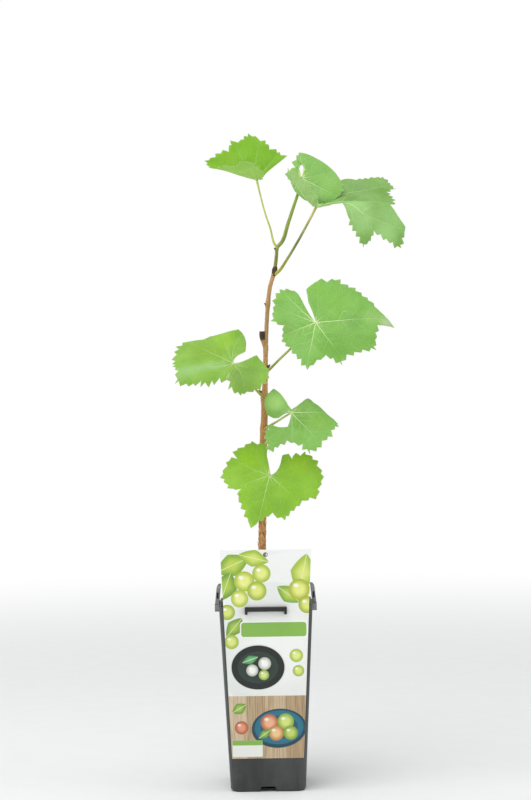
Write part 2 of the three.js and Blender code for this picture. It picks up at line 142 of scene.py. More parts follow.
def stretch(vector, factor):
    inputs = {0: vector, "Scale": factor}
    return addNode(vector.tree, "ShaderNodeVectorMath", inputs, operation="SCALE")


def split(vector):
    first = addNode(vector.tree, "ShaderNodeSeparateXYZ", {0: vector})
    return [first.beside(i) for i in range(3)]


def combine(*parts):
    return addNode(treeOf(*parts), "ShaderNodeCombineXYZ", dict(enumerate(parts)))


def fade(value, low, high, first=0.0, last=1.0):  # smooth step from low to high
    inputs = {"Value": value, "From Min": low, "From Max": high, "To Min": first, "To Max": last}
    return addNode(value.tree, "ShaderNodeMapRange", inputs, interpolation_type="SMOOTHSTEP")


def noise(vector, scale, detail=3, roughness=0.55, distortion=0):
    inputs = {"Vector": vector, "Scale": scale, "Detail": detail, "Roughness": roughness,
              "Distortion": distortion}
    return addNode(vector.tree, "ShaderNodeTexNoise", inputs, "Fac")


def colour(code):  # colour of a six-digit web code, as linear light
    channels = [int(code[i:i + 2], 16) / 255 for i in (0, 2, 4)]
    return (*(c / 12.92 if c <= 0.04045 else ((c + 0.055) / 1.055) ** 2.4 for c in channels), 1)


def mixTones(share, first, second, blend="MIX"):
    first, second = (colour(tone) if isinstance(tone, str) else tone for tone in (first, second))
    inputs = {0: share, 6: first, 7: second}
    return addNode(treeOf(share, first, second), "ShaderNodeMix", inputs, 2,
                   data_type="RGBA", blend_type=blend)


def newMaterial(name, specular=0.5):
    material = bpy.data.materials.new(name)
    material.use_nodes = True
    shader = material.node_tree.nodes["Principled BSDF"]
    shader.inputs["Specular IOR Level"].default_value = specular
    return material, material.node_tree, shader


def finishSkin(shader, tone, roughness, height, distance, strength):
    relief = {"Height": height, "Distance": distance * mm, "Strength": strength}
    bump = addNode(tone.tree, "ShaderNodeBump", relief)
    plug(shader, {"Base Color": tone, "Roughness": roughness, "Normal": bump})


def objectPlace(tree):
    return addNode(tree, "ShaderNodeTexCoord", out="Object")


def attribute(tree, name, out="Vector"):
    return addNode(tree, "ShaderNodeAttribute", out=out, attribute_name=name)


def newGroup(name, kind, inputs, outputs):
    tree = bpy.data.node_groups.new(name, kind)
    for way, sockets in (("INPUT", inputs), ("OUTPUT", outputs)):
        for label, sort in sockets.items():
            tree.interface.new_socket(name=label, in_out=way, socket_type="NodeSocket" + sort)
    given = tree.nodes.new("NodeGroupInput").outputs
    given = {label: Wire(given[label]) for label in inputs}
    return tree, given, tree.nodes.new("NodeGroupOutput")


def shadeSmooth(mesh):
    mesh.polygons.foreach_set("use_smooth", [True] * len(mesh.polygons))


def meshObject(name, vertices, faces, material):
    mesh = bpy.data.meshes.new(name)
    mesh.from_pydata([tuple(v) for v in vertices], [], faces)
    mesh.update()
    shadeSmooth(mesh)
    mesh.materials.append(material)
    return newObject(name, mesh)


def finishPiece(piece, slotName, *nodes):
    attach(piece, "root")
    if nodes:
        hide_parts(*nodes)


studio = {
    "floorSize": 12, "fadeStart": 0.6, "fadeEnd": 2.4,  # metres: the floor fades out to plain white
    "floorTone": "ebeded", "floorSpeck": "e4e7e7", "floorGrain": 30, "floorRoughness": 0.9,
    "white": (1.0, 1.0, 1.0, 1),
    "skyStrength": 0.72,  # as light; seen directly the sky is plain white
    "lights": {  # metres and watts
        "topLight": {"place": (-0.5, -0.8, 2.1), "size": 1.5, "power": 20, "aim": (0, 0, 0.4)},
        "rightLight": {"place": (1.8, -0.5, 0.7), "size": 1.0, "power": 5, "aim": (0, 0, 0.3)},
        "leftLight": {"place": (-1.8, -0.4, 0.7), "size": 1.0, "power": 4, "aim": (0, 0, 0.3)},
    },
}


def addSky():
    world = bpy.data.worlds.new("studioSky")
    world.use_nodes = True
    tree = world.node_tree
    sky = tree.nodes["Background"]
    plug(sky, {"Color": studio["white"], "Strength": studio["skyStrength"]})
    seen = addNode(tree, "ShaderNodeBackground", {"Color": studio["white"], "Strength": 1.0})
    isSeen = addNode(tree, "ShaderNodeLightPath", out="Is Camera Ray")
    both = addNode(tree, "ShaderNodeMixShader", {0: isSeen, 1: Wire(sky.outputs[0]), 2: seen})
    plug(tree.nodes["World Output"], {"Surface": both})
    bpy.context.scene.world = world
    bpy.context.scene.view_settings.view_transform = "Standard"


def addLights():
    for name, facts in studio["lights"].items():
        light = bpy.data.lights.new(name, "AREA")
        light.shape = "DISK"
        light.size = facts["size"]
        light.energy = facts["power"]
        lamp = newObject(name, light)
        lamp.location = facts["place"]
        aim = Vector(facts["aim"]) - lamp.location
        lamp.rotation_euler = aim.to_track_quat("-Z", "Y").to_euler()


def addFloor():
    material, tree, shader = newMaterial("floorPaper")
    place = objectPlace(tree)
    speck = fade(noise(place, studio["floorGrain"]), 0.3, 0.7, 0, 0.25)
    plug(shader, {"Base Color": mixTones(speck, studio["floorTone"], studio["floorSpeck"]),
                  "Roughness": studio["floorRoughness"]})
    glow = addNode(tree, "ShaderNodeEmission", {"Color": studio["white"], "Strength": 1.0})
    far = fade(vectorCalc("LENGTH", place, out=1), studio["fadeStart"], studio["fadeEnd"])
    both = addNode(tree, "ShaderNodeMixShader", {0: far, 1: Wire(shader.outputs[0]), 2: glow})
    plug(tree.nodes["Material Output"], {"Surface": both})
    half = studio["floorSize"] / 2
    corners = [(-half, -half, 0), (half, -half, 0), (half, half, 0), (-half, half, 0)]
    meshObject("studioFloor", corners, [(0, 1, 2, 3)], material)


addSky()
addLights()
addFloor()
print("floor and lights placed")

# seat: where the stalk meets the blade. heading, rise, roll, turn: how the blade lies.
# hub: how far along the midrib the lobes spread from. teeth: their spacing and depth.
# veinShow: how clear the veins are. veins: directions of the main veins.
# lobes: angle and reach of every tip and notch in turn. plain: angles with no teeth between them.
# curl: how far the two basal lobes turn in near the seat. close: how far their outer parts do,
# and how high the second one lifts. cut: corners of the opening between the seat and the first
# lobe. waves: count, height and phase. bends: direction across the fold, start, width, angle and,
# for one lobe only, its direction, half spread and soft edge.
# zones: along, across, radius, colour and sometimes strength of a soft patch of painted sheen and
# painted shade over the folds, mixed with the leaf's own uneven tone.
leaves = [
    {
        "seat": (-3, 16, 645.8), "heading": 186, "rise": 14.2, "teeth": (8, 3.3), "veinShow": 0.5,
        "curl": (10, 10),
        "bends": [(90, 1, 12, 26), (-90, 1, 16, 64), (180, 3, 10, 36, 150, 50, 30)],
        "lobes": [
            (-120, 57), (-114, 53.5), (-106, 56), (-99, 53), (-92, 61), (-87, 60), (-83, 64),
            (-75, 67.5), (-69, 61.5), (-62, 58), (-55, 61), (-46, 51), (-32, 56), (-23, 56),
            (-16, 60), (-6, 52), (12, 44), (26, 40), (38, 33), (52, 38), (70, 37), (88, 27),
            (104, 20), (122, 12), (150, 4),
        ],
        "veins": [-110, -84, -58, -25, 5, 35, 75, 115],
        "upper": "78ae1f", "under": "a0ce5a",
        "sheenAndShade": [(17, -42, 22, "75ae1d"), (34, -27, 16, "81b228"), (-2, -44, 16, "76ae21")],
    },
    {
        "seat": (44.8, 6, 645.3), "heading": -4, "rise": -23, "roll": 66, "teeth": (7.2, 3.3),
        "veinShow": 0.9, "curl": (-14, -14), "close": (26, 26, 1.6),
        "plain": [(19, 100), (-168, -10)],
        "bends": [(-90, 5, 14, -25)],
        "lobes": [
            (-229, 29.5), (-223, 29), (-212, 25), (-205, 15), (-191, 16), (-167, 13), (-130, 13),
            (-95, 17), (-62, 25), (-34, 36), (-14, 43), (-2, 45), (6, 47), (19, 43), (31.3, 37.5),
            (45.7, 32.5), (60.9, 30), (77.8, 30), (89.3, 30.5), (92, 30),
        ],
        "veins": [-218, -100, -40, -6, 33, 61, 88],
        "upper": "7eb356", "under": "a8d272",
        "sheenAndShade": [
            (-11, 16, 16, "7eb856"), (11, 12, 19, "7aaf50"), (31, 9, 16, "84b55a"),
            (15, -8, 14, "81ae5e"), (25, -15, 11, "90c162"), (25, -22, 16, "6f9a58", 0.7),
            (-2, 4, 6, "b5bf3c", 0.8),
        ],
    },
    {
        "seat": (60.3, -2.5, 614.3), "heading": 3, "rise": 12, "roll": 36, "hub": 26,
        "teeth": (7.2, 3.3), "veinShow": 0.9, "plain": [(60, 180), (-155, -87), (-46, -24)],
        "bends": [
            (0, 16, 30, -16), (-90, 1, 5, 96, -150, 45, 30), (-90, 0, 6, 30, -30, 40, 30),
            (-90, 14, 10, -78, -30, 50, 30), (180, -1, 8, 62),
        ],
        "lobes": [
            (-180, 26), (-178, 80), (-174, 86), (-170, 77), (-164, 55), (-155, 30), (-140, 15),
            (-120, 11), (-95, 12), (-87, 26.5), (-85, 39), (-81, 60.5), (-71, 58), (-61, 52),
            (-59, 58), (-55, 81), (-53, 85), (-43, 80), (-37, 78), (-31, 66.5), (-22, 56),
            (2, 60.5), (20, 59), (22, 72), (33, 76), (42, 80.5), (48, 71), (61, 53), (73, 50.5),
            (100, 34), (125, 35), (150, 33), (168, 28), (180, 26),
        ],
        "veins": [-172, -62, -30, -3, 22, 45, 76, 120],
        "upper": "7aa854", "under": "a2cc78",
        "sheenAndShade": [
            (53, 27, 22, "729f56"), (79, 18, 19, "639432"), (37, 2, 16, "699547"),
            (42, -27, 24, "9ccc7e"), (74, -35, 24, "91c272"), (62, -52, 19, "98c779"),
            (-33, -11, 14, "8fc359"),
        ],
    },
    {
        "seat": (56.8, -24, 489.6), "heading": -6, "rise": -7, "roll": 62, "teeth": (9, 3.6),
        "veinShow": 0.9, "curl": (8, 8), "plain": [(1, 15), (84, 116)],
        "bends": [(0, 52, 22, -38)],
        "lobes": [
            (-235, 40), (-230, 48), (-220, 55), (-207, 52.5), (-173, 46), (-167, 34), (-140, 41.5),
            (-123, 40), (-92, 56.5), (-68, 41.5), (-55, 58), (-43, 51), (-20, 70.5), (5, 65),
            (7.5, 87), (23, 67), (48, 59), (77, 57), (84, 51), (91, 54.5), (111, 43), (115, 25),
        ],
        "veins": [-220, -198, -148, -92, -50, -17, 12, 52, 95],
        "upper": "78b04a", "under": "a0cc84",
        "sheenAndShade": [
            (-28, 8, 24, "7ab053"), (-32, -12, 16, "6e9d44"), (-11, -30, 22, "7db356"),
            (25, -27, 27, "659e34"), (17, 28, 22, "78b240"), (-3, 41, 16, "79b544"),
            (39, 4, 16, "70a24c"), (50, -17, 19, "6ca43b"), (63, 15, 19, "8db964"),
            (77, 11, 14, "b1ca96"),
        ],
    },
    {
        "seat": (-29.9, -24, 447.8), "heading": 182, "rise": 3, "roll": -52, "teeth": (7.2, 3.4),
        "veinShow": 0.5, "curl": (50, 20), "plain": [(-126, -40), (150, 208)],
        "bends": [(90, 0, 8, 30), (90, 14, 16, -52)],
        "lobes": [
            (-126, 20.5), (-115, 30.5), (-104, 42), (-95, 47), (-70, 42.5), (-54, 44.5), (-43, 45),
            (-29, 56), (-18, 62.5), (-6, 63.5), (11, 63), (22, 63), (26, 67), (36, 52.5),
            (38, 45.5), (47, 43.5), (49, 37), (57, 34), (59, 30.5), (72, 29.5), (75, 20.5),
            (80, 31.5), (102, 38), (113, 37), (128, 40.5), (140, 44), (163, 39), (184, 31.5),
            (208, 27),
        ],
        "veins": [-100, -70, -28, 20, 55, 110, 160, 192],
        "upper": "84b242", "under": "a4cf7c",
        "sheenAndShade": [
            (36, -15, 19, "80ab35"), (46, 11, 16, "8bb957"), (9, -30, 19, "91c132"),
            (23, -13, 19, "7ba929"), (23, 9, 12, "90b963"), (34, 24, 19, "7eae3b"),
            (-17, 12, 19, "709a3a", 0.8), (-13, 28, 16, "769f3f"), (-2, 23, 12, "729742"),
            (12, 4, 10, "94c070", 0.6), (24, 8, 13, "95c173"), (34, 12, 13, "95c173", 0.7),
            (45, 16, 13, "93bf70"), (55, 20, 11, "90bc6c", 0.7),
        ],
    },
    {
        "seat": (29.5, -22, 395.3), "heading": -8, "rise": -16, "roll": 62, "teeth": (7, 3.4),
        "veinShow": 0.8, "curl": (45, 25), "cut": [(-1.5, -17)], "plain": [(10, 224)],
        "bends": [(63, 20.4, 12, -100, 40, 45, 20)],
        "lobes": [
            (-131, 26), (-120, 38), (-100, 53), (-92, 42.5), (-81, 33.5), (-65, 37), (-58, 39),
            (-53, 50), (-36, 50.5), (-29, 47), (-17, 51), (-10, 47.5), (-1, 52), (14, 50), (28, 50),
            (42, 52), (54, 46), (61, 28), (69, 8), (98, 3.5), (120, 5), (129, 15), (134, 26.5),
            (140, 33.5), (165, 32.5), (181, 29.5), (206, 24.5), (220, 19), (224, 15),
        ],
        "veins": [-112, -72, -32, 17, 48, 150, 190],
        "upper": "7fb453", "under": "a0cc82",
        "sheenAndShade": [
            (-21, 5, 16, "b5e382"), (6, 13, 16, "7eab4d"), (32, -1, 16, "7fb245"),
            (12, -9, 16, "659c2f"), (4, -34, 16, "80ac56"), (-9, -26, 14, "7bb249"),
        ],
    },
    {
        "seat": (6, -27, 329.6), "heading": -90, "rise": -68, "turn": -20, "teeth": (8.6, 3.2),
        "veinShow": 0.6, "curl": (6, 48), "plain": [(-5, 6)],
        "waves": [(5, 1.2, 200), (3, 1.5, 60)],
        "bends": [(85, 6, 26, -14), (-80, 8, 20, 16)],
        "lobes": [
            (-155, 33.5), (-147, 36), (-136, 41.5), (-102, 46), (-97, 38.5), (-89, 47.5),
            (-66, 51.5), (-48, 44), (-44, 34.5), (-35, 41), (-5, 55.4), (1, 62), (6, 55),
            (23, 41.5), (37, 50.5), (72, 44), (87, 56), (109, 56.5), (125, 53), (146, 45),
            (150, 32), (168, 26.5),
        ],
        "veins": [-125, -92, -51, 6, 40, 66, 95, 130],
        "upper": "8abd30", "under": "a6cf74",
        "sheenAndShade": [
            (-10, -26, 19, "94c622"), (18, -36, 19, "97c743"), (5, -11, 14, "8abc34"),
            (24, 0, 22, "78aa2b"), (46, 2, 16, "78a92b"), (-25, 24, 19, "9dcc26", 0.7),
            (-5, 43, 19, "93c937"), (7, 25, 19, "85bb2d"), (31, 22, 16, "72a925"),
        ],
    },
]
# step: spacing of the blade's points. tooth: how teeth lean and stand off the line between knots.
# shades: how much lighter and darker than its tone a blade gets in broad patches.
# lines: how strongly the net, the branches and the main veins show at their start and at their end.
# broad, fine, net, wobble: how fine the patterns are, as scales of their noise.
blade = {
    "thick": 0.36, "edgeThick": 0.14, "edgeWidth": 2, "step": 0.9, "outlineStep": 0.5,
    "hubSteps": 30,
    "toothSkew": 0.45, "toothLean": 0.05, "toothBulge": 0.02, "toothOut": 0.55, "toothIn": -0.45,
    "toothSizes": (0.5, 0.9, 1.35), "toothShift": 0.16, "turnOut": 0.35, "turnIn": -0.2,
    "tipWidth": 1.6,
    "curlSpan": 80, "closeFrom": 0.35, "closeFull": 0.7,
    "grooveWidth": 1.6, "grooveDepth": 0.35, "ribHeight": 0.5, "puff": 0.35, "puffWidth": 6,
    "wander": 0.8, "wanderSize": 24,
    "veinWidth": 0.62, "branchWidth": 0.34, "branchTurn": 48, "branchCount": 5.5,
    "veinReach": 0.93, "leastVein": 12,
    "shades": ((1.1, 1.06, 1.15), (0.86, 0.92, 0.8)), "sheenAndShadeStrength": 0.75,
    "lines": ((0.07, 0.07), (0.34, 0.05), (1.0, 0.3)),
    "vein": "d4e7ae", "underVein": "dde9c0", "tip": "8a6a2c", "specular": 0.22,
    "broad": 0.06, "fine": 0.9, "net": 0.42, "wobble": 0.09, "toothSeed": 40, "swellSeed": 70,
}
plainLeaf = {
    "roll": 0, "turn": 0, "curl": (0, 0), "hub": 0, "cut": [], "plain": [], "close": (0, 0, 0),
    "waves": [],
}
leaves = [{**plainLeaf, **leaf} for leaf in leaves]


def cross(p, q):
    return p[..., 0] * q[..., 1] - p[..., 1] * q[..., 0]


def smooth(value, low, high):
    t = np.clip((value - low) / (high - low), 0, 1)
    return t * t * (3 - 2 * t)


def knotPoints(leaf):
    return np.array([np.multiply(ray(degrees), reach) for degrees, reach in leaf["lobes"]])


def toothPlaces(leaf, rng):
    # Corners of the outline from the first knot to the last, and whether each is a tooth's tip
    pitch, fullDepth = leaf["teeth"]
    flat = knotPoints(leaf)
    reach = [r for _, r in leaf["lobes"]]
    last = len(reach) - 1
    turns = [i for i in range(1, last) if (reach[i] - reach[i - 1]) * (reach[i + 1] - reach[i]) < 0]
    corners = []
    for first, end in zip([0] + turns, turns + [last]):
        legs = np.linalg.norm(np.diff(flat[first:end + 1], axis=0), axis=1)
        lengths = np.concatenate([[0], np.cumsum(legs)])
        rising = reach[end] > reach[first]
        count = 2 * max(0, round(lengths[-1] / pitch - 0.5)) + 1
        depth = fullDepth * min(1, 2 * lengths[-1] / count / pitch)
        for k in range(count):
            isTip = (k % 2 == 1) == rising
            share = k / count
            if k == 0:
                side = blade["turnOut"] if isTip else blade["turnIn"]
                offset = 0 if first == 0 else depth * side
            else:
                side = blade["toothOut"] if isTip else blade["toothIn"]
                offset = depth * side * rng.choice(blade["toothSizes"])
                lean = blade["toothSkew"] if isTip else blade["toothLean"]
                share += lean / count * (1 if rising else -1)
                share += rng.uniform(-blade["toothShift"], blade["toothShift"]) / count
            place = share * lengths[-1]
            leg = min(len(legs) - 1, int(np.searchsorted(lengths, place, side="right")) - 1)
            degrees = leaf["lobes"][first + leg][0]
            if any(low <= degrees < high for low, high in leaf["plain"]):
                offset, isTip = 0, False
            along = (flat[first + leg + 1] - flat[first + leg]) / legs[leg]
            point = flat[first + leg] + along * (place - lengths[leg])
            corners.append((point + np.array([along[1], -along[0]]) * offset, isTip))
    return corners + [(flat[last], False)]


def toothedOutline(leaf, rng):
    # Close points along the outline, and how near each is to a tooth's tip
    corners = toothPlaces(leaf, rng)
    points, tips = [], []
    for (start, startTip), (end, endTip) in zip(corners, corners[1:]):
        way = end - start
        length = np.linalg.norm(way)
        out = np.array([way[1], -way[0]])
        pieces = max(1, round(length / blade["outlineStep"]))
        bulge = blade["toothBulge"] * (1 if length > 0.5 * leaf["teeth"][0] else 0.4)
        for i in range(pieces):
            t = i / pieces
            points.append(start + way * t + out * bulge * 4 * t * (1 - t))
            near = min(t * length if startTip else 9, (1 - t) * length if endTip else 9)
            tips.append(max(0, 1 - near / blade["tipWidth"]))
    return np.array(points + [corners[-1][0]]), np.array(tips + [0])


def closedOutline(leaf, rng):
    # The toothed outline, closed through the seat where the lobes spread from it
    outline, tips = toothedOutline(leaf, rng)
    if leaf["hub"]:
        return outline[:-1], tips[:-1]
    corners = [outline[-1], (0, 0), *leaf["cut"], outline[0]]
    seatSides = [np.linspace(p, q, blade["hubSteps"])[1:] for p, q in zip(corners, corners[1:])]
    outline = np.concatenate([outline, *seatSides])[:-1]
    return outline, np.concatenate([tips, np.zeros(len(outline) - len(tips))])


def insideOutline(points, outline):
    inside = np.zeros(len(points), bool)
    for (x0, y0), (x1, y1) in zip(outline, np.roll(outline, -1, axis=0)):
        if y0 != y1:
            spans = (y0 > points[:, 1]) != (y1 > points[:, 1])
            edge = (x1 - x0) * (points[:, 1] - y0) / (y1 - y0) + x0
            inside ^= spans & (points[:, 0] < edge)
    return inside


def fillOutline(outline, step):
    # Even grid of points inside the outline, joined to it by triangles
    low, high = outline.min(axis=0), outline.max(axis=0)
    rows = np.arange(low[1], high[1], step * math.sqrt(0.75))
    columns = np.arange(low[0], high[0], step)
    grid = np.array([(x + step / 2 * (i % 2), y) for i, y in enumerate(rows) for x in columns])
    grid = grid[insideOutline(grid, outline)]
    gap = np.full(len(grid), np.inf)
    for point in outline:
        gap = np.minimum(gap, ((grid - point) ** 2).sum(axis=1))
    clear = gap > (0.6 * step) ** 2
    points = [Vector(p) for p in np.concatenate([outline, grid[clear]])]
    found = delaunay_2d_cdt(points, [], [list(range(len(outline)))], 1, 1e-5)
    flat = np.array([tuple(v) for v in found[0]])
    faces = np.array(found[2])
    corners = flat[faces]
    turned = cross(corners[:, 1] - corners[:, 0], corners[:, 2] - corners[:, 0]) < 0
    faces[turned] = faces[turned][:, ::-1]
    edges = {(face[i], face[(i + 1) % 3]) for face in faces.tolist() for i in range(3)}
    rim = sorted((a, b) for a, b in edges if (b, a) not in edges)
    source = [olds[0] if olds else 0 for olds in found[3]]
    margin = np.concatenate([np.zeros(len(outline)), np.sqrt(gap[clear])])[source]
    return flat, faces, rim, source, margin


def foldSheet(point, direction, start, width, angle):
    a, b, h = point
    c, s = ray(direction)
    beyond = a * c + b * s - start
    along = b * c - a * s
    least = 1e-5
    safe = np.where(np.abs(angle) < least, least, angle)
    arc = safe * np.clip(beyond / width, 0, 1)
    radius = width / safe
    rest = np.maximum(0, beyond - width)
    across = start + (radius - h) * np.sin(arc) + rest * np.cos(arc)
    height = radius - (radius - h) * np.cos(arc) + rest * np.sin(arc)
    folded = (across * c - along * s, across * s + along * c, height)
    moved = (beyond > 0) & (np.abs(angle) >= least)
    return tuple(np.where(moved, new, old) for new, old in zip(folded, point))


def bladeAxes(leaf):
    heading, rise, roll, turn = (ray(leaf[key]) for key in ("heading", "rise", "roll", "turn"))
    along = Vector((rise[0] * heading[0], rise[0] * heading[1], rise[1]))
    level = Vector((-heading[1], heading[0], 0))
    up = along.cross(level)
    side = level * roll[0] + up * roll[1]
    out = up * roll[0] - level * roll[1]
    return along * turn[0] + side * turn[1], side * turn[0] - along * turn[1], out


def poseBlade(leaf, flat, lift):
    # Points of the flat blade, lifted off its plane, as they lie on the plant
    angles = np.array([math.radians(a) for a, _ in leaf["lobes"]])
    tips = knotPoints(leaf)
    middle = (angles[0] + angles[-1]) / 2
    angle = np.arctan2(flat[:, 1], flat[:, 0]) - middle
    angle = middle + (angle + math.pi) % math.tau - math.pi
    angle = np.clip(angle, angles[0], angles[-1])
    leg = np.clip(np.searchsorted(angles, angle, side="right") - 1, 0, len(angles) - 2)
    way = tips[leg + 1] - tips[leg]
    toward = np.stack([np.cos(angle), np.sin(angle)], axis=1)
    radius = np.linalg.norm(flat, axis=1)
    share = np.clip(radius / (cross(tips[leg], way) / cross(toward, way)), 0, 1)
    span = math.radians(blade["curlSpan"])
    nearLow = np.clip((angles[0] + span - angle) / span, 0, 1) ** 1.3
    nearHigh = np.clip((angle - angles[-1] + span) / span, 0, 1) ** 1.3
    curlLow, curlHigh, closeLow, closeHigh = np.radians([*leaf["curl"], *leaf["close"][:2]])
    outer = smooth(share, blade["closeFrom"], blade["closeFull"])
    turned = angle + (curlLow * nearLow - curlHigh * nearHigh) * (1 - share) ** 1.5
    turned += (closeHigh * nearHigh - closeLow * nearLow) * outer
    a = leaf["hub"] + radius * np.cos(turned)
    b = radius * np.sin(turned)
    lobeAngle = angle
    if leaf["hub"]:
        seen = np.arctan2(b, a)
        wholeTurns = np.trunc((turned - seen) / math.tau + 0.499 * np.sign(turned - seen))
        lobeAngle = seen + math.tau * wholeTurns
    height = lift + leaf["close"][2] * nearHigh ** 3 * outer
    for count, size, phase in leaf["waves"]:  # size is the height 50 mm from the seat
        wave = np.sin(count * lobeAngle + math.radians(phase))
        height += size * (a * a + b * b) / 50 ** 2 * wave
    point = (a, b, height)
    for direction, start, width, degrees, *limit in leaf["bends"]:
        strength = np.ones(len(flat))
        if limit:
            lobe, spread, soft = (math.radians(x) for x in limit)
            strength = smooth(spread + soft - np.abs(lobeAngle - lobe), 0, soft)
        point = foldSheet(point, direction, start, width, math.radians(degrees) * strength)
    return leaf["seat"] + sum(np.outer(part, axis) for part, axis in zip(point, bladeAxes(leaf)))


def veinLengths(leaf):
    # Each main vein runs from the seat nearly to the edge
    knots = knotPoints(leaf) + (leaf["hub"], 0)
    lengths = []
    for degrees in leaf["veins"]:
        way = np.array(ray(degrees))
        reach = [blade["leastVein"]]
        for p, q in zip(knots, knots[1:]):
            turn = cross(way, q - p)
            if abs(turn) > 1e-9 and 0 <= cross(way, p) / turn <= 1:
                reach.append(cross(p, q - p) / turn)
        lengths.append((degrees, blade["veinReach"] * max(reach)))
    return lengths


def veinRelief(leaf, sheet):
    # Height of the sheet beside its nearest main vein, and of the rib under it
    radius = np.maximum(np.linalg.norm(sheet, axis=1), 1e-6)
    best = np.full(len(sheet), -2.0)
    along, across, length = np.zeros(len(sheet)), np.zeros(len(sheet)), np.ones(len(sheet))
    for degrees, size in leaf["veinLengths"]:
        c, s = ray(degrees)
        forward = sheet[:, 0] * c + sheet[:, 1] * s
        near = forward / radius > best
        best = np.where(near, forward / radius, best)
        along = np.where(near, forward, along)
        across = np.where(near, sheet[:, 1] * c - sheet[:, 0] * s, across)
        length = np.where(near, size, length)
    side = np.abs(across)
    left = np.clip(1 - along / length, 0, 1)
    width = blade["grooveWidth"] * (0.3 + 0.7 * left)
    groove = (1 - smooth(side, 0.1 * width, 1.2 * width)) * (0.3 + 0.7 * left)
    puff = blade["puff"] * smooth(side, 0, blade["puffWidth"])
    return puff - blade["grooveDepth"] * groove, groove * left


def rollingNoise(sheet, seed, size):
    # Smooth random swell: the sum of a few seeded waves
    rng = random.Random(seed)
    height = np.zeros(len(sheet))
    for _ in range(7):
        turn, phase = rng.uniform(0, math.tau), rng.uniform(0, math.tau)
        step = size * rng.uniform(0.7, 1.8)
        along = sheet[:, 0] * math.cos(turn) + sheet[:, 1] * math.sin(turn)
        height += np.sin(along / step * math.tau + phase)
    return height / 4


def vertexNormals(points, faces):
    p, q, r = points[faces].transpose(1, 0, 2)
    faceNormals = np.cross(q - p, r - p)
    normals = np.zeros_like(points)
    for i in range(3):
        np.add.at(normals, faces[:, i], faceNormals)
    return normals / np.maximum(np.linalg.norm(normals, axis=1, keepdims=True), 1e-9)


def makeLeaf(index, leaf, material):
    name = f"leaf_{index + 1}"
    outline, tips = closedOutline(leaf, random.Random(blade["toothSeed"] + index))
    flat, faces, rim, source, margin = fillOutline(outline, blade["step"])
    sheet = flat + (leaf["hub"], 0)
    tipness = np.concatenate([tips, np.zeros(max(source) + 1 - len(tips))])[source]
    relief, rib = veinRelief(leaf, sheet)
    swell = rollingNoise(sheet, blade["swellSeed"] + index, blade["wanderSize"]) * blade["wander"]
    swell *= smooth(np.linalg.norm(sheet, axis=1), 4, 30)
    middle = poseBlade(leaf, flat, relief * smooth(margin, 0, 3) + swell)
    normals = vertexNormals(middle, faces)
    thick = smooth(margin, 0, blade["edgeWidth"]) * (blade["thick"] - blade["edgeThick"])
    half = (blade["edgeThick"] + thick) / 2
    top = middle + normals * half[:, None]
    under = middle - normals * (half + blade["ribHeight"] * rib)[:, None]
    count = len(flat)
    allFaces = faces.tolist() + (faces[:, ::-1] + count).tolist()
    allFaces += [(b, a, a + count, b + count) for a, b in rim]
    vertices = np.concatenate([top, under]) * mm
    piece = meshObject(f"{name}_blade", vertices, allFaces, material)
    for label, values in {"blade": sheet.T, "margin": (margin, tipness)}.items():
        sides = [np.stack([*values, np.full(count, side)], axis=1) for side in (1.0, 0.0)]
        data = piece.data.attributes.new(label, "FLOAT_VECTOR", "POINT")
        data.data.foreach_set("vector", np.concatenate(sides).ravel())
    finishPiece(piece, "leaf", name)


def nearestVeinGroup():
    # One step of the search for the nearest main vein, which takes this vein if it is nearer
    facts = dict.fromkeys(("Closeness", "Along", "Across", "Length"), "Float")
    inputs = {"Sheet": "Vector", "Direction": "Vector", "Vein length": "Float", **facts}
    tree, given, found = newGroup("nearestVein", "ShaderNodeTree", inputs, facts)
    sheet, direction = given["Sheet"], given["Direction"]
    closeness = vectorCalc("DOT_PRODUCT", vectorCalc("NORMALIZE", sheet), direction, out=1)
    forward = vectorCalc("DOT_PRODUCT", sheet, direction, out=1)
    across = split(vectorCalc("CROSS_PRODUCT", direction, sheet))[2]
    nearer = closeness > given["Closeness"]
    for label, new in zip(facts, (closeness, forward, across, given["Vein length"])):
        plug(found, {label: addNode(tree, "ShaderNodeMix", {0: nearer, 2: given[label], 3: new})})
    return tree


def veinPatternGroup():
    # From the place beside the nearest main vein: how much of each kind of vein is there
    numbers = dict.fromkeys(("Along", "Across", "Length"), "Float")
    lines = dict.fromkeys(("Main", "Branch", "Net", "Left"), "Float")
    tree, given, found = newGroup(
        "veinPattern", "ShaderNodeTree", {"Sheet": "Vector", **numbers}, lines)
    sheet, along, across, length = given.values()
    wobble = noise(sheet, blade["wobble"], detail=1) * 1.6 - 0.8
    across = across + wobble * (along * 0.03)
    side = abs(across)
    left = addNode(tree, "ShaderNodeClamp", {0: 1 - along / length})
    width = (left * 0.65 + 0.35) * blade["veinWidth"]
    main = 1 - fade(side / width, 0.45, 1.25)
    turn = math.radians(blade["branchTurn"])
    spacing = length / blade["branchCount"]
    start = side * (-1 / math.tan(turn)) + along + calc("POWER", side, 2) * 0.008
    place = start / spacing + ((across > 0) * 0.5 + wobble) * 0.5
    gap = abs(place - calc("ROUND", place)) * spacing * math.sin(turn)
    line = 1 - fade(gap, 0.4 * blade["branchWidth"], 1.6 * blade["branchWidth"])
    branch = line * fade(place, 0.55, 0.9)
    inputs = {"Vector": sheet, "Scale": blade["net"], "Randomness": 0.9}
    cells = addNode(tree, "ShaderNodeTexVoronoi", inputs, "Distance", feature="DISTANCE_TO_EDGE")
    net = 1 - fade(cells, 0.02, 0.16)
    plug(found, {"Main": main, "Branch": branch, "Net": net, "Left": left})
    return tree


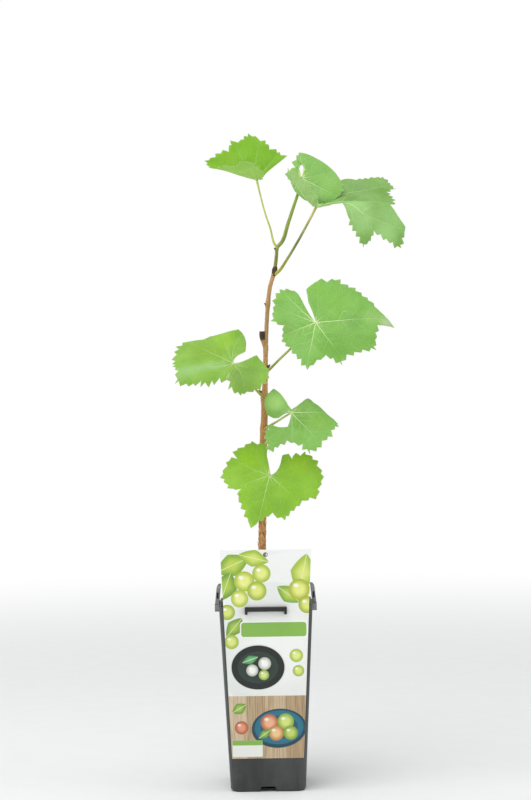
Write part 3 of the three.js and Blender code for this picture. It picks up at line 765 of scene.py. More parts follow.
def leafMaterial(index, leaf, nearestVein, veinPattern):
    material, tree, shader = newMaterial(f"leafSkin_{index + 1}", blade["specular"])
    a, b, side = split(attribute(tree, "blade"))
    margin, tipness, _ = split(attribute(tree, "margin"))
    sheet = combine(a, b)
    state = {"Closeness": -2.0, "Along": 0.0, "Across": 9.0, "Length": 50.0}
    for degrees, length in leaf["veinLengths"]:
        inputs = {"Sheet": sheet, "Direction": (*ray(degrees), 0), "Vein length": length, **state}
        step = addNode(tree, "ShaderNodeGroup", inputs, node_tree=nearestVein)
        state = {label: step.beside(label) for label in state}
    del state["Closeness"]
    pattern = addNode(tree, "ShaderNodeGroup", {"Sheet": sheet, **state}, node_tree=veinPattern)
    main, branch, net, left = (pattern.beside(i) for i in range(4))
    broad = fade(noise(sheet, blade["broad"]), 0.3, 0.7)
    fine = noise(sheet, blade["fine"], detail=4)
    skins = []
    for tone in (leaf["under"], leaf["upper"]):
        light, dark = (tuple(min(1, c * f) for c, f in zip(colour(tone), (*shade, 1)))
                       for shade in blade["shades"])
        skins.append(mixTones(fine * 0.2, mixTones(broad, dark, light), dark))
    skin = mixTones(side, *skins)
    # soft patches of painted sheen and painted shade, mixed with the leaf's own uneven tone
    for along, across, radius, tone, *strength in leaf["sheenAndShade"]:
        apart = vectorCalc("DISTANCE", sheet, (along, across, 0), out=1)
        fullest = strength[0] if strength else blade["sheenAndShadeStrength"]
        skin = mixTones(fade(apart, 0.2 * radius, radius, fullest, 0) * side, skin, tone)
    veinTone = mixTones(side, blade["underVein"], blade["vein"])
    for lines, (start, end) in zip((net, branch, main), blade["lines"]):
        strength = fade(left, 0, 1, end * leaf["veinShow"], start * leaf["veinShow"])
        skin = mixTones(lines * strength, skin, veinTone)
    skin = mixTones(fade(margin, 0.1, 1, 0.25, 0), skin, blade["vein"])  # pale rim
    skin = mixTones(fade(tipness, 0.2, 0.75, 0, 0.8), skin, blade["tip"])
    rough = fine * 0.12 + (side * -0.16 + 0.6)
    height = fine * 0.6 - (main + branch * 0.7) - net * 0.35
    finishSkin(shader, skin, rough, height * (side * 2 - 1), 0.25, 0.6)
    return material


nearestVein, veinPattern = nearestVeinGroup(), veinPatternGroup()
for index, leaf in enumerate(leaves):
    leaf["veinLengths"] = veinLengths(leaf)
    makeLeaf(index, leaf, leafMaterial(index, leaf, nearestVein, veinPattern))
    print("leaf", index + 1, "made")

stalk = {"slot": "stalk", "sides": 14, "relief": 0.15, "grain": 12, "skin": "green"}
# way: x, y, z and half thickness along the limb. knots: height, half length and swell of each
# swollen place. relief, grain: depth and length of the bark's grain. tones: from foot to tip.
limbs = {
    "woody_stem": {
        "slot": "stem", "sides": 30, "relief": 0.8, "grain": 8, "skin": "bark",
        "way": [
            (-3.6, 0, 180.3, 5.4), (-3.4, 0, 196, 4.3), (-3, 0, 251, 4.0), (-1.4, 0, 310, 3.9),
            (0.1, 0, 366, 3.9), (1.5, 0, 391.7, 3.6), (2.0, 0, 413, 3.3), (2.6, 0, 424, 2.9),
            (3.9, 0, 461, 2.4), (5.0, 0, 483, 2.2), (6.9, 0, 510, 2.2), (9.3, 0, 528, 2.2),
            (12.3, 0, 538.5, 2.2), (14.2, 0, 545, 2.3),
        ],
        "knots": [
            (357, 4, 0.5), (378, 4, 0.5), (411, 6, 0.9), (439, 5, 0.7), (463, 4, 0.5),
            (511, 4, 0.6),
        ],
    },
    "cut_spur": {
        "slot": "stem", "sides": 20, "relief": 0.7, "grain": 6, "skin": "spurBark",
        "way": [
            (3.6, -0.3, 456, 1.0), (2.6, -0.8, 465, 1.6), (1.4, -1.3, 471.5, 2.3),
            (0.4, -1.6, 476, 2.9), (0.2, -1.9, 481.8, 2.8),
        ],
        "knots": [(471, 2.5, 0.2)],
    },
    "top_node": {
        "slot": "bud", "sides": 22, "relief": 0.9, "grain": 4, "skin": "deadBark",
        "way": [
            (13.2, 0, 540.6, 2.3), (14.0, 0, 543.6, 2.6), (14.8, 0, 547, 2.9),
            (15.6, 0, 550.4, 2.1),
        ],
    },
    "green_shoot": {
        "slot": "shoot", "sides": 18, "relief": 0.25, "grain": 10, "skin": "green",
        "tones": ["75762a", "87963a"],
        "way": [(15, 0, 548, 2.0), (16.4, 0, 558, 1.9), (17.4, 0, 569, 1.8)],
    },
    "upper_node": {
        "slot": "shoot", "sides": 18, "relief": 0.35, "grain": 5, "skin": "green",
        "tones": ["7c8a2c", "8da23a"],
        "way": [(16.9, 0, 566.6, 1.8), (17.4, 0, 569.4, 2.15), (17.9, 0.2, 572, 1.9)],
    },
    "leaf_stalk_1": {
        **stalk, "relief": 0.1, "tones": ["aab648", "c4d868"],
        "way": [
            (17.5, 0, 571, 1.5), (14.0, 1, 577, 1.15), (10.7, 4, 592, 1.0), (5.3, 8, 609, 0.92),
            (0.5, 13, 629, 0.9), (-3, 16, 645.3, 1.3),
        ],
    },
    "leaf_stalk_2": {
        **stalk, "sides": 16, "tones": ["7c8f2e", "8fae44"],
        "way": [
            (17.8, 0, 571, 1.9), (24.1, 2, 579, 2.1), (30.2, 5, 598, 1.9), (37.5, 8, 619, 1.7),
            (42.2, 8, 633, 1.6), (44.8, 6, 644.9, 1.7),
        ],
    },
    "leaf_stalk_3": {
        **stalk, "tones": ["b0b23e", "66783a", "c9c276"],
        "way": [
            (15.0, -0.5, 542.5, 2.0), (20.6, -3, 547, 1.7), (27.5, -4, 557, 1.5),
            (33.9, -4, 567, 1.4), (42.9, -5, 582, 1.35), (51.8, -4, 598, 1.3),
            (60.3, -2.5, 613.8, 1.5),
        ],
    },
    "leaf_stalk_4": {
        **stalk, "tones": ["9aa23e", "aab85c", "c2d278"],
        "way": [
            (4, 0, 438.5, 2.0), (9.5, -4, 443, 1.5), (17.8, -8, 451, 1.35), (29.6, -14, 462, 1.25),
            (43.4, -19, 476, 1.2), (56.8, -24, 489.2, 1.4),
        ],
    },
    "leaf_stalk_5": {
        **stalk, "tones": ["9ea63a", "b9cc58"],
        "way": [
            (2.3, 0, 410.5, 2.2), (-1.6, -5, 414, 1.5), (-6.4, -8, 419, 1.35),
            (-13.3, -12, 427, 1.25), (-21.5, -18, 437.5, 1.2), (-29.9, -24, 447.4, 1.4),
        ],
    },
    "leaf_stalk_6": {
        **stalk, "tones": ["a8b456", "ccda8c"],
        "way": [
            (0.9, 0, 377, 2.1), (4.6, -4.5, 379.8, 1.5), (9.4, -8, 382.6, 1.3),
            (15.7, -13, 386.3, 1.15), (23.2, -18, 391, 1.1), (29.5, -22, 394.9, 1.3),
        ],
    },
    "leaf_stalk_7": {
        **stalk, "tones": ["a0aa46", "c0d474"],
        "way": [
            (-0.1, 0, 357, 2.1), (1, -6, 353.5, 1.5), (2.5, -12, 348.4, 1.3),
            (4.5, -19.5, 339, 1.15), (6, -27, 329.9, 1.3),
        ],
    },
}
bark = {
    "young": "b08a56", "middle": "c08a52", "old": "dca96e", "dark": "5a3820", "fibre": "dcb07c",
    "deadTone": "2c2019", "deadFibre": "5a4030", "liveFoot": (15.5, 18), "blotch": "96602f",
    "patch": "e9bb88", "aged": (200, 100), "middleFrom": (50, 160), "youngFrom": (220, 310),
    "fibres": 3.4, "fibreStretch": 60, "patches": 1.1, "patchStretch": 160,
    "flakeTop": 300, "flakeBottom": 181, "flakeGap": 3.2, "flakeSeed": 5, "flakeTone": "dc8f57",
    "flakeSize": (1.5, 7, 0.22), "flakeGrid": (7, 3), "flakeLift": 0.55, "flakeCurl": 0.12,
    "flakeEdgeSeed": 12, "pathStep": 0.8,
}
green = {
    "stripes": 2.6, "stripeStretch": 45, "light": (1.25, 1.2, 1.1, 1), "dark": (0.7, 0.66, 0.6, 1),
}


def smoothWay(way, step):
    # Close points along a smooth curve through the given ones
    way = np.array(way, float)
    ends = np.concatenate([[2 * way[0] - way[1]], way, [2 * way[-1] - way[-2]]])
    points = []
    for before, start, end, after in zip(ends, ends[1:], ends[2:], ends[3:]):
        pairs = ((before, start), (start, end), (end, after))
        legs = [np.linalg.norm((q - p)[:3]) for p, q in pairs]
        leave = (end - before) / (legs[0] + legs[1]) * legs[1]
        arrive = (after - start) / (legs[1] + legs[2]) * legs[1]
        pieces = max(1, round(legs[1] / step))
        for t in np.arange(pieces) / pieces:
            points.append((2 * t ** 3 - 3 * t ** 2 + 1) * start + (t ** 3 - 2 * t ** 2 + t) * leave
                          + (3 * t ** 2 - 2 * t ** 3) * end + (t ** 3 - t ** 2) * arrive)
    return np.array(points + [way[-1]])


def storeValue(geometry, name, value, sort="FLOAT"):
    inputs = {"Geometry": geometry, "Name": name, "Value": value}
    return addNode(geometry.tree, "GeometryNodeStoreNamedAttribute", inputs, data_type=sort)


def storedValue(tree, name, sort="FLOAT"):
    return addNode(tree, "GeometryNodeInputNamedAttribute", {"Name": name}, data_type=sort)


def moveBy(geometry, offset):
    inputs = {"Geometry": geometry, "Offset": offset}
    return addNode(geometry.tree, "GeometryNodeSetPosition", inputs)


def randomPlace(tree, low, high):
    return addNode(tree, "FunctionNodeRandomValue", {0: low, 1: high}, data_type="FLOAT_VECTOR")


def turnOf(angles):
    return addNode(angles.tree, "FunctionNodeEulerToRotation", {0: angles})


def endTree(geometry, skin, made):
    tree = geometry.tree
    real = addNode(tree, "GeometryNodeRealizeInstances", {0: geometry})
    plug(made, {0: addNode(tree, "GeometryNodeSetMaterial", {"Geometry": real, "Material": skin})})


def spreadPoints(ground, where, gap, densest, seed):
    inputs = {"Mesh": ground, "Selection": where, "Distance Min": gap, "Density Max": densest,
              "Seed": seed}
    return addNode(ground.tree, "GeometryNodeDistributePointsOnFaces", inputs,
                   distribute_method="POISSON")


def addCopies(ground, points, thing, rotation, size):
    tree = ground.tree
    copies = addNode(tree, "GeometryNodeInstanceOnPoints",
                     {"Points": points, "Instance": thing, "Rotation": rotation, "Scale": size})
    copies = addNode(tree, "GeometryNodeRealizeInstances", {0: copies})
    joined = addNode(tree, "GeometryNodeJoinGeometry", {0: copies})
    tree.links.new(ground.socket, joined.socket.node.inputs[0])
    return joined


def limbGroup():
    # Tube round a path, thick as the path's points say, with grain along it
    tree, given, made = newGroup(
        "limbTube", "GeometryNodeTree",
        {"Path": "Geometry", "Sides": "Int", "Relief": "Float", "Grain": "Float", "Seed": "Float",
         "Skin": "Material"}, {"Tube": "Geometry"})
    path = addNode(tree, "GeometryNodeMeshToCurve", {"Mesh": given["Path"]})
    path = storeValue(path, "along", addNode(tree, "GeometryNodeSplineParameter", out="Length"))
    ring = addNode(tree, "GeometryNodeCurvePrimitiveCircle",
                   {"Resolution": given["Sides"], "Radius": 1.0})
    place = addNode(tree, "GeometryNodeInputPosition")
    ring = storeValue(ring, "around", place, "FLOAT_VECTOR")
    tube = addNode(tree, "GeometryNodeCurveToMesh",
                   {"Curve": path, "Profile Curve": ring, "Scale": storedValue(tree, "thickness"),
                    "Fill Caps": True})
    x, y, _ = split(storedValue(tree, "around", "FLOAT_VECTOR"))
    rise = storedValue(tree, "along") / given["Grain"] + given["Seed"]
    height = (noise(combine(x, y, rise), 2.4, detail=4) - 0.5) * given["Relief"]
    tube = moveBy(tube, stretch(addNode(tree, "GeometryNodeInputNormal"), height))
    endTree(tube, given["Skin"], made)
    return tree


def flakeGroup():
    # Loose strips of bark spread over the lower stem, each along it
    tree, given, made = newGroup(
        "barkFlakes", "GeometryNodeTree",
        {"Stem": "Geometry", "Flake": "Object", "Bottom": "Float", "Top": "Float", "Gap": "Float",
         "Seed": "Int", "Skin": "Material"}, {"Stem": "Geometry"})
    height = split(addNode(tree, "GeometryNodeInputPosition"))[2]
    inside = (height > given["Bottom"]) * calc("LESS_THAN", height, given["Top"])
    points = spreadPoints(given["Stem"], inside, given["Gap"], 300000.0, given["Seed"])
    facing = addNode(tree, "FunctionNodeAxesToRotation",
                     {"Primary Axis": points.beside("Normal"), "Secondary Axis": (0, 0, 1)},
                     primary_axis="Z", secondary_axis="Y")
    twist = randomPlace(tree, (0, 0, -0.22), (0.12, 0.1, 0.22))
    plug(twist.socket.node, {"Seed": given["Seed"]})
    facing = addNode(tree, "FunctionNodeRotateRotation", {0: facing, 1: turnOf(twist)},
                     rotation_space="LOCAL")
    size = randomPlace(tree, (0.5, 0.4, 0.6), (1.2, 1.3, 1.4))
    flake = addNode(tree, "GeometryNodeObjectInfo", {"Object": given["Flake"]}, "Geometry")
    flake = storeValue(flake, "flake", 1.0)
    endTree(addCopies(given["Stem"], points, flake, facing, size), given["Skin"], made)
    return tree


def keepShape(piece):
    # Makes the piece's evaluated shape its own plain mesh
    graph = bpy.context.evaluated_depsgraph_get()
    piece.data = bpy.data.meshes.new_from_object(
        piece.evaluated_get(graph), preserve_all_data_layers=True, depsgraph=graph)
    piece.modifiers.clear()


def bakeTree(piece, tree, settings):
    modifier = piece.modifiers.new(tree.name, "NODES")
    modifier.node_group = tree
    for item in tree.interface.items_tree:
        if item.in_out == "INPUT" and item.name in settings:
            modifier[item.identifier] = settings[item.name]
    keepShape(piece)
    shadeSmooth(piece.data)


def limbPlace(tree, stretched):
    # Place round a limb and along it, with the length drawn in so that patterns run along the limb
    x, y, _ = split(attribute(tree, "around"))
    return combine(x, y, attribute(tree, "along", "Fac") * stretched)


def barkMaterial(name, dead, liveFoot=None):
    material, tree, shader = newMaterial(name)
    along = attribute(tree, "along", "Fac") * (1 / mm)
    fibre = noise(limbPlace(tree, bark["fibreStretch"]), bark["fibres"], detail=6, roughness=0.65)
    patches = noise(limbPlace(tree, bark["patchStretch"]), bark["patches"])
    if dead:
        tone = mixTones(fade(fibre, 0.4, 0.7), bark["deadTone"], bark["deadFibre"])
        if liveFoot:
            tone = mixTones(fade(along, *liveFoot), bark["young"], tone)
    else:
        tone = mixTones(fade(along, *bark["middleFrom"]), bark["old"], bark["middle"])
        tone = mixTones(fade(along, *bark["youngFrom"]), tone, bark["young"])
        aged = fade(along, *bark["aged"])
        tone = mixTones(fade(patches, 0.5, 0.58, 0, 0.7) * aged, tone, bark["blotch"])
        tone = mixTones(fade(patches, 0.46, 0.38, 0, 0.7) * aged, tone, bark["patch"])
        tone = mixTones(fade(fibre, 0.5, 0.68, 0, 0.65), tone, bark["fibre"])
        flake = attribute(tree, "flake", "Fac")
        tone = mixTones(fade(flake, 0.4, 0.6, 0, 0.6), tone, bark["flakeTone"])
    cracks = fade(fibre, 0.46, 0.3) * fade(patches, 0.35, 0.6, 0.45, 1)
    tone = mixTones(cracks * 0.85, tone, bark["dark"])
    finishSkin(shader, tone, fibre * -0.3 + 0.85, fibre, 0.5, 0.8)
    return material


def greenMaterial(name, tones, length):
    # The tones follow each other from the foot of the limb to its tip
    material, tree, shader = newMaterial(name)
    stripes = noise(limbPlace(tree, green["stripeStretch"]), green["stripes"], detail=4)
    share = attribute(tree, "along", "Fac") / length + (stripes * 0.3 - 0.15)
    tone = addNode(tree, "ShaderNodeValToRGB", {"Fac": share})
    elements = tone.socket.node.color_ramp.elements
    for i, code in enumerate(tones):
        element = elements[i] if i < len(elements) else elements.new(1)
        element.position = i / (len(tones) - 1)
        element.color = colour(code)
    dark, light = (mixTones(1.0, tone, green[key], "MULTIPLY") for key in ("dark", "light"))
    tone = mixTones(fade(stripes, 0.35, 0.65), dark, light)
    finishSkin(shader, tone, stripes * 0.25 + 0.32, stripes, 0.25, 0.6)
    return material


def makeFlake(material):
    # One curled strip with a torn end, lying along Y with its outer side up
    width, length, thick = bark["flakeSize"]
    rows, columns = bark["flakeGrid"]
    rng = random.Random(bark["flakeEdgeSeed"])
    vertices, faces = [], []
    for level in (0, 1):
        for i in range(rows):
            t = i / (rows - 1)
            lift = bark["flakeLift"] * t * t
            swell = (0.5 + math.sin(math.pi * min(1, 0.15 + 0.9 * t))) * 0.7
            half = width / 2 * swell * rng.uniform(0.85, 1.1)
            for j in range(columns):
                u = 2 * j / (columns - 1) - 1
                z = lift - bark["flakeCurl"] * u * u + (level - 0.5) * thick
                vertices.append((u * half * mm, (t - 0.5) * length * mm, z * mm))
    low, high = np.arange(len(vertices)).reshape(2, rows, columns)
    for i in range(rows - 1):
        for j in range(columns - 1):
            quad = [(i, j), (i, j + 1), (i + 1, j + 1), (i + 1, j)]
            faces.append([int(high[place]) for place in quad])
            faces.append([int(low[place]) for place in quad[::-1]])
    rim = [*low[0], *low[1:, -1], *low[-1, -2::-1], *low[-2:0:-1, 0]]
    top = rows * columns
    for p, q in zip(map(int, rim), map(int, rim[1:] + rim[:1])):
        faces.append([p, q, q + top, p + top])
    return meshObject("barkFlake", vertices, faces, material)


def makeLimb(name, facts, tree, material):
    way = smoothWay(facts["way"], bark["pathStep"])
    thickness = way[:, 3].copy()
    for height, length, swell in facts.get("knots", []):
        thickness += swell * np.exp(-((way[:, 2] - height) / length) ** 2)
    mesh = bpy.data.meshes.new(name)
    edges = [(i, i + 1) for i in range(len(way) - 1)]
    mesh.from_pydata([tuple(p * mm) for p in way[:, :3]], edges, [])
    data = mesh.attributes.new("thickness", "FLOAT", "POINT")
    data.data.foreach_set("value", thickness * mm)
    piece = newObject(name, mesh)
    bakeTree(piece, tree, {
        "Sides": facts["sides"], "Relief": facts["relief"] * mm, "Grain": facts["grain"] * mm,
        "Seed": float(len(name) + way[0, 2]), "Skin": material})
    return piece


def makeLimbs():
    tree, flakes = limbGroup(), flakeGroup()
    skins = {"bark": barkMaterial("barkSkin", False),
             "deadBark": barkMaterial("deadBarkSkin", True),
             "spurBark": barkMaterial("spurBarkSkin", True, bark["liveFoot"])}
    flake = makeFlake(skins["bark"])
    for name, facts in limbs.items():
        way = facts["way"]
        length = sum(math.dist(p[:3], q[:3]) for p, q in zip(way, way[1:])) * mm
        skin = skins.get(facts["skin"]) or greenMaterial(name + "_skin", facts["tones"], length)
        piece = makeLimb(name + "_limb", facts, tree, skin)
        if name == "woody_stem":
            sizes = {"Bottom": "flakeBottom", "Top": "flakeTop", "Gap": "flakeGap"}
            settings = {label: bark[key] * mm for label, key in sizes.items()}
            settings |= {"Flake": flake, "Seed": bark["flakeSeed"], "Skin": skin}
            bakeTree(piece, flakes, settings)
        finishPiece(piece, facts["slot"], name)
        print(name, "made")
    bpy.data.objects.remove(flake)


makeLimbs()

# foot: where the bud leaves the limb. aim: which way it points.
buds = {
    "bud_1": {"foot": (-0.9, 0, 416.2), "aim": (-0.75, -0.1, 0.65), "length": 5.6, "radius": 1.75},
    "bud_2": {"foot": (5.6, -1, 443.6), "aim": (0.7, -0.25, 0.65), "length": 5.2, "radius": 1.65},
    "woody_stem": {"foot": (5, -0.6, 510), "aim": (-0.7, -0.2, 0.7), "length": 3.8, "radius": 1.2},
    "upper_node": {"foot": (16.4, -0.6, 569), "aim": (-0.8, -0.25, 0.5), "length": 3.6,
                   "radius": 1.35},
}
budScales = {
    "turns": 3.2, "step": 0.2, "ripple": 0.06, "sunk": 0.8, "rings": 26, "sides": 20,
    "tone": "3a261b", "edge": "7a5334", "tip": "9a7a4e", "mottle": 900, "fleck": 300,
}


def makeBud(index, name, facts, material):
    # Pointed bud wrapped in scales that overlap in a spiral
    aim = Vector(facts["aim"]).normalized()
    turn = Vector((0, 0, 1)).rotation_difference(aim).to_matrix()
    rings, sides = budScales["rings"], budScales["sides"]
    points = [(0, 0, -budScales["sunk"])]
    for i in range(rings):
        t = (i + 0.5) / rings
        swell = math.sin(math.pi * t ** 0.62) ** 0.75
        for j in range(sides):
            angle = math.tau * j / sides
            wrap = (t * budScales["turns"] + j / sides) % 1
            radius = facts["radius"] * swell * (1 - budScales["step"] * wrap)
            radius *= 1 + budScales["ripple"] * math.sin(3 * angle + 11 * t + index)
            height = t * facts["length"] - budScales["sunk"]
            points.append((radius * math.cos(angle), radius * math.sin(angle), height))
    points.append((0, 0, facts["length"] - budScales["sunk"]))
    vertices = [(Vector(facts["foot"]) + turn @ Vector(point)) * mm for point in points]
    faces = [(0, 1 + (j + 1) % sides, 1 + j) for j in range(sides)]
    for i in range(rings - 1):
        for j in range(sides):
            p, q = 1 + i * sides + j, 1 + i * sides + (j + 1) % sides
            faces.append((p, q, q + sides, p + sides))
    last = 1 + (rings - 1) * sides
    faces += [(last + j, last + (j + 1) % sides, len(vertices) - 1) for j in range(sides)]
    finishPiece(meshObject(f"{name}_scales", vertices, faces, material), "bud", name)


def makeBuds():
    material, tree, shader = newMaterial("budSkin")
    place = objectPlace(tree)
    mottle = noise(place, budScales["mottle"], detail=4)
    tone = mixTones(fade(mottle, 0.4, 0.66), budScales["tone"], budScales["edge"])
    fleck = fade(noise(place, budScales["fleck"]), 0.55, 0.75, 0, 0.6)
    tone = mixTones(fleck, tone, budScales["tip"])
    finishSkin(shader, tone, mottle * 0.3 + 0.45, mottle, 0.2, 0.7)
    for index, (name, facts) in enumerate(buds.items()):
        makeBud(index, name, facts, material)
    print("buds made")


makeBuds()

# moves: ranges of distance sideways, in depth and of height, and how the corners in them move
pot = {
    "tone": "2e3130", "lightTone": "404443", "dust": "6b675e", "dustHeight": 40,
    # the ear tone is painted light on the ends of the ears and ledges
    # the window tone is painted shade in the ear windows and on the front and back ledge faces
    "earPaintedLight": "8d908f", "paintedShadeTone": "0c0d0d",
    "grain": 1400, "smear": 45, "flow": (60, 60, 9), "scratch": (900, 900, 35),
    "earStart": (46.5, 184), "windowPlane": 12, "ledgeFace": 52,
    "height": 194, "halfFoot": 39.3, "halfRim": 48.9,
    "edgeRound": 0.5, "roundSteps": 2, "smoothAngle": 40,
    "moves": [  # slimmer ledges
        [(47, 60), (0, 30), (183.4, 187.6), (0, 0, 2.6)],
        [(0, 30), (47, 60), (183.4, 187.6), (0, 0, 2.6)],
    ],
}


def nodeCopy(node, name, material, facts):
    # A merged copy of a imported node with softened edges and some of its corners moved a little
    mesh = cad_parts[node].data.copy()
    mesh.name = name
    mesh.materials.clear()
    mesh.materials.append(material)
    shape = bmesh.new()
    shape.from_mesh(mesh)
    bmesh.ops.remove_doubles(shape, verts=shape.verts, dist=1e-6)
    bmesh.ops.dissolve_limit(
        shape, angle_limit=math.radians(1), verts=shape.verts, edges=shape.edges)
    for vertex in shape.verts:
        place = [abs(c) / mm for c in vertex.co]
        for *ranges, move in facts["moves"]:
            if all(low < value < high for value, (low, high) in zip(place, ranges)):
                vertex.co += Vector(move) * mm
    for face in shape.faces:
        face.material_index = 0
        face.smooth = True
    shape.to_mesh(mesh)
    shape.free()
    piece = newObject(name, mesh)
    bevel = piece.modifiers.new("softEdges", "BEVEL")
    bevel.width = facts["edgeRound"] * mm
    bevel.segments = facts["roundSteps"]
    bevel.limit_method = "ANGLE"
    bevel.angle_limit = math.radians(facts["smoothAngle"])
    bevel.harden_normals = True
    keepShape(piece)
    return piece


def makePot():
    material, tree, shader = newMaterial("potPlastic")
    place = objectPlace(tree)
    across, depth, height = split(place)
    across, depth = abs(across) * (1 / mm), abs(depth) * (1 / mm)
    height = height * (1 / mm)
    grain = noise(place, pot["grain"], detail=2)
    flow = noise(vectorCalc("MULTIPLY", place, pot["flow"]), 1, detail=4)
    tone = mixTones(fade(flow, 0.35, 0.7), pot["tone"], pot["lightTone"])
    smears = noise(place, pot["smear"], detail=5, roughness=0.7)
    dusty = fade(smears, 0.5, 0.72) * (fade(height, pot["dustHeight"], 0) * 0.22 + 0.08)
    tone = mixTones(dusty, tone, pot["dust"])
    scratches = noise(vectorCalc("MULTIPLY", place, pot["scratch"]), 1, detail=2)
    tone = mixTones(fade(scratches, 0.72, 0.8, 0, 0.25), tone, pot["dust"])
    # painted light: the ends of the ledges and ears are made lighter where they catch more light,
    # and their windows get painted shade
    normal = addNode(tree, "ShaderNodeNewGeometry", out="Normal")
    upright = fade(abs(split(normal)[1]), 0.6, 0.9)
    startAcross, startUp = pot["earStart"]
    isEnd = (across > startAcross) * (height > startUp) * upright
    tone = mixTones(isEnd * 0.85, tone, pot["earPaintedLight"])
    # painted shade at the bottom of the window recesses
    inside = calc("COMPARE", depth, pot["windowPlane"], 0.4)
    tone = mixTones(inside * isEnd, tone, pot["paintedShadeTone"])
    # painted shade: the faces of the front and back ledges are made the darkest
    isFace = (depth > pot["ledgeFace"]) * upright
    tone = mixTones(isFace * 0.8, tone, pot["paintedShadeTone"])
    rough = dusty * 0.5 + (smears * 0.25 + 0.26)
    finishSkin(shader, tone, rough, grain + flow * 2, 0.12, 0.5)
    finishPiece(nodeCopy("pot", "pot_shell", material, pot), "pot", "pot")
    print("pot made")


makePot()

compost = {
    "top": 179.6, "depth": 30, "gap": 2.2, "steps": 64, "edgeDrop": 2.2, "cornerPull": 0.085,
    "bump": 2.4, "crumbSize": (1.0, 3.2), "crumbGap": 2.3, "skirt": 25, "seed": 8,
    "lumps": 110, "grain": 420, "fleckSize": 650,
    "tone": "2a211a", "lightTone": "4f4033", "fleck": "8b7a62",
}


def compostHalf(height):  # half the compost's width there, a little inside the pot's wall
    flare = (pot["halfRim"] - pot["halfFoot"]) / pot["height"]
    return pot["halfFoot"] + flare * height - compost["gap"]


def compostGroup():
    # Rough ground with crumbs lying over it
    sizes = dict.fromkeys(("Level", "Bump", "Crumb gap", "Smallest", "Largest"), "Float")
    tree, given, made = newGroup(
        "compostTop", "GeometryNodeTree",
        {"Ground": "Geometry", **sizes, "Seed": "Int", "Skin": "Material"}, {"Ground": "Geometry"})
    place = addNode(tree, "GeometryNodeInputPosition")
    normal = addNode(tree, "GeometryNodeInputNormal")
    isTop = split(place)[2] > given["Level"]
    lumps = noise(place, compost["lumps"], detail=5, roughness=0.7) - 0.62
    ground = moveBy(given["Ground"], combine(0, 0, lumps * given["Bump"] * isTop))
    upward = (split(normal)[2] > 0.4) * isTop
    points = spreadPoints(ground, upward, given["Crumb gap"], 250000.0, given["Seed"])
    ball = addNode(tree, "GeometryNodeMeshUVSphere", {"Segments": 8, "Rings": 6, "Radius": 0.5})
    ball = moveBy(ball, stretch(normal, noise(place, 2.2) - 0.5))
    turn = turnOf(randomPlace(tree, (0, 0, 0), (6.28, 6.28, 6.28)))
    size = addNode(tree, "FunctionNodeRandomValue", {2: given["Smallest"], 3: given["Largest"]}, 1)
    size = stretch(randomPlace(tree, (0.6, 0.6, 0.4), (1.5, 1.1, 0.9)), size)
    endTree(addCopies(ground, points, ball, turn, size), given["Skin"], made)
    return tree


def compostMaterial():
    material, tree, shader = newMaterial("compostSkin")
    place = objectPlace(tree)
    grain = noise(place, compost["grain"], detail=6, roughness=0.7)
    tone = mixTones(fade(grain, 0.38, 0.68), compost["tone"], compost["lightTone"])
    flecks = noise(place, compost["fleckSize"], detail=1)
    tone = mixTones(fade(flecks, 0.68, 0.74, 0, 0.7), tone, compost["fleck"])
    finishSkin(shader, tone, grain * 0.2 + 0.78, grain, 0.6, 0.8)
    return material


def makeCompost():
    steps = compost["steps"]
    top, low = compost["top"], compost["top"] - compost["depth"]
    half = compostHalf(top)
    vertices = []
    for i in range(steps + 1):
        for j in range(steps + 1):
            # the square grid is drawn in at its corners to fit the pot's rounded inside
            u, v = 2 * i / steps - 1, 2 * j / steps - 1
            reach = half * (1 - compost["cornerPull"] * (u * u * v * v) ** 2)
            height = top - compost["edgeDrop"] * max(abs(u), abs(v)) ** 3
            vertices.append((u * reach * mm, v * reach * mm, height * mm))
    grid = np.arange(len(vertices)).reshape(steps + 1, steps + 1)
    cells = [grid[:-1, :-1], grid[1:, :-1], grid[1:, 1:], grid[:-1, 1:]]
    faces = np.stack(cells, axis=2).reshape(-1, 4).tolist()
    sides = (grid[:-1, 0], grid[-1, :-1], grid[:0:-1, -1], grid[0, :0:-1])
    rim = np.concatenate(sides).tolist()
    first, count = len(vertices), len(rim)
    shrink = compostHalf(low) / half
    vertices += [(vertices[p][0] * shrink, vertices[p][1] * shrink, low * mm) for p in rim]
    for k in range(count):
        after = (k + 1) % count
        faces.append((rim[k], first + k, first + after, rim[after]))
    faces.append([first + k for k in range(count - 1, -1, -1)])
    piece = meshObject("compost_ground", vertices, faces, compostMaterial())
    smallest, largest = compost["crumbSize"]
    bakeTree(piece, compostGroup(), {
        "Level": (top - compost["skirt"]) * mm, "Bump": compost["bump"] * mm,
        "Crumb gap": compost["crumbGap"] * mm, "Smallest": smallest * mm, "Largest": largest * mm,
        "Seed": compost["seed"], "Skin": piece.data.materials[0]})
    finishPiece(piece, "soil", "root_ball")
    print("compost made")


makeCompost()

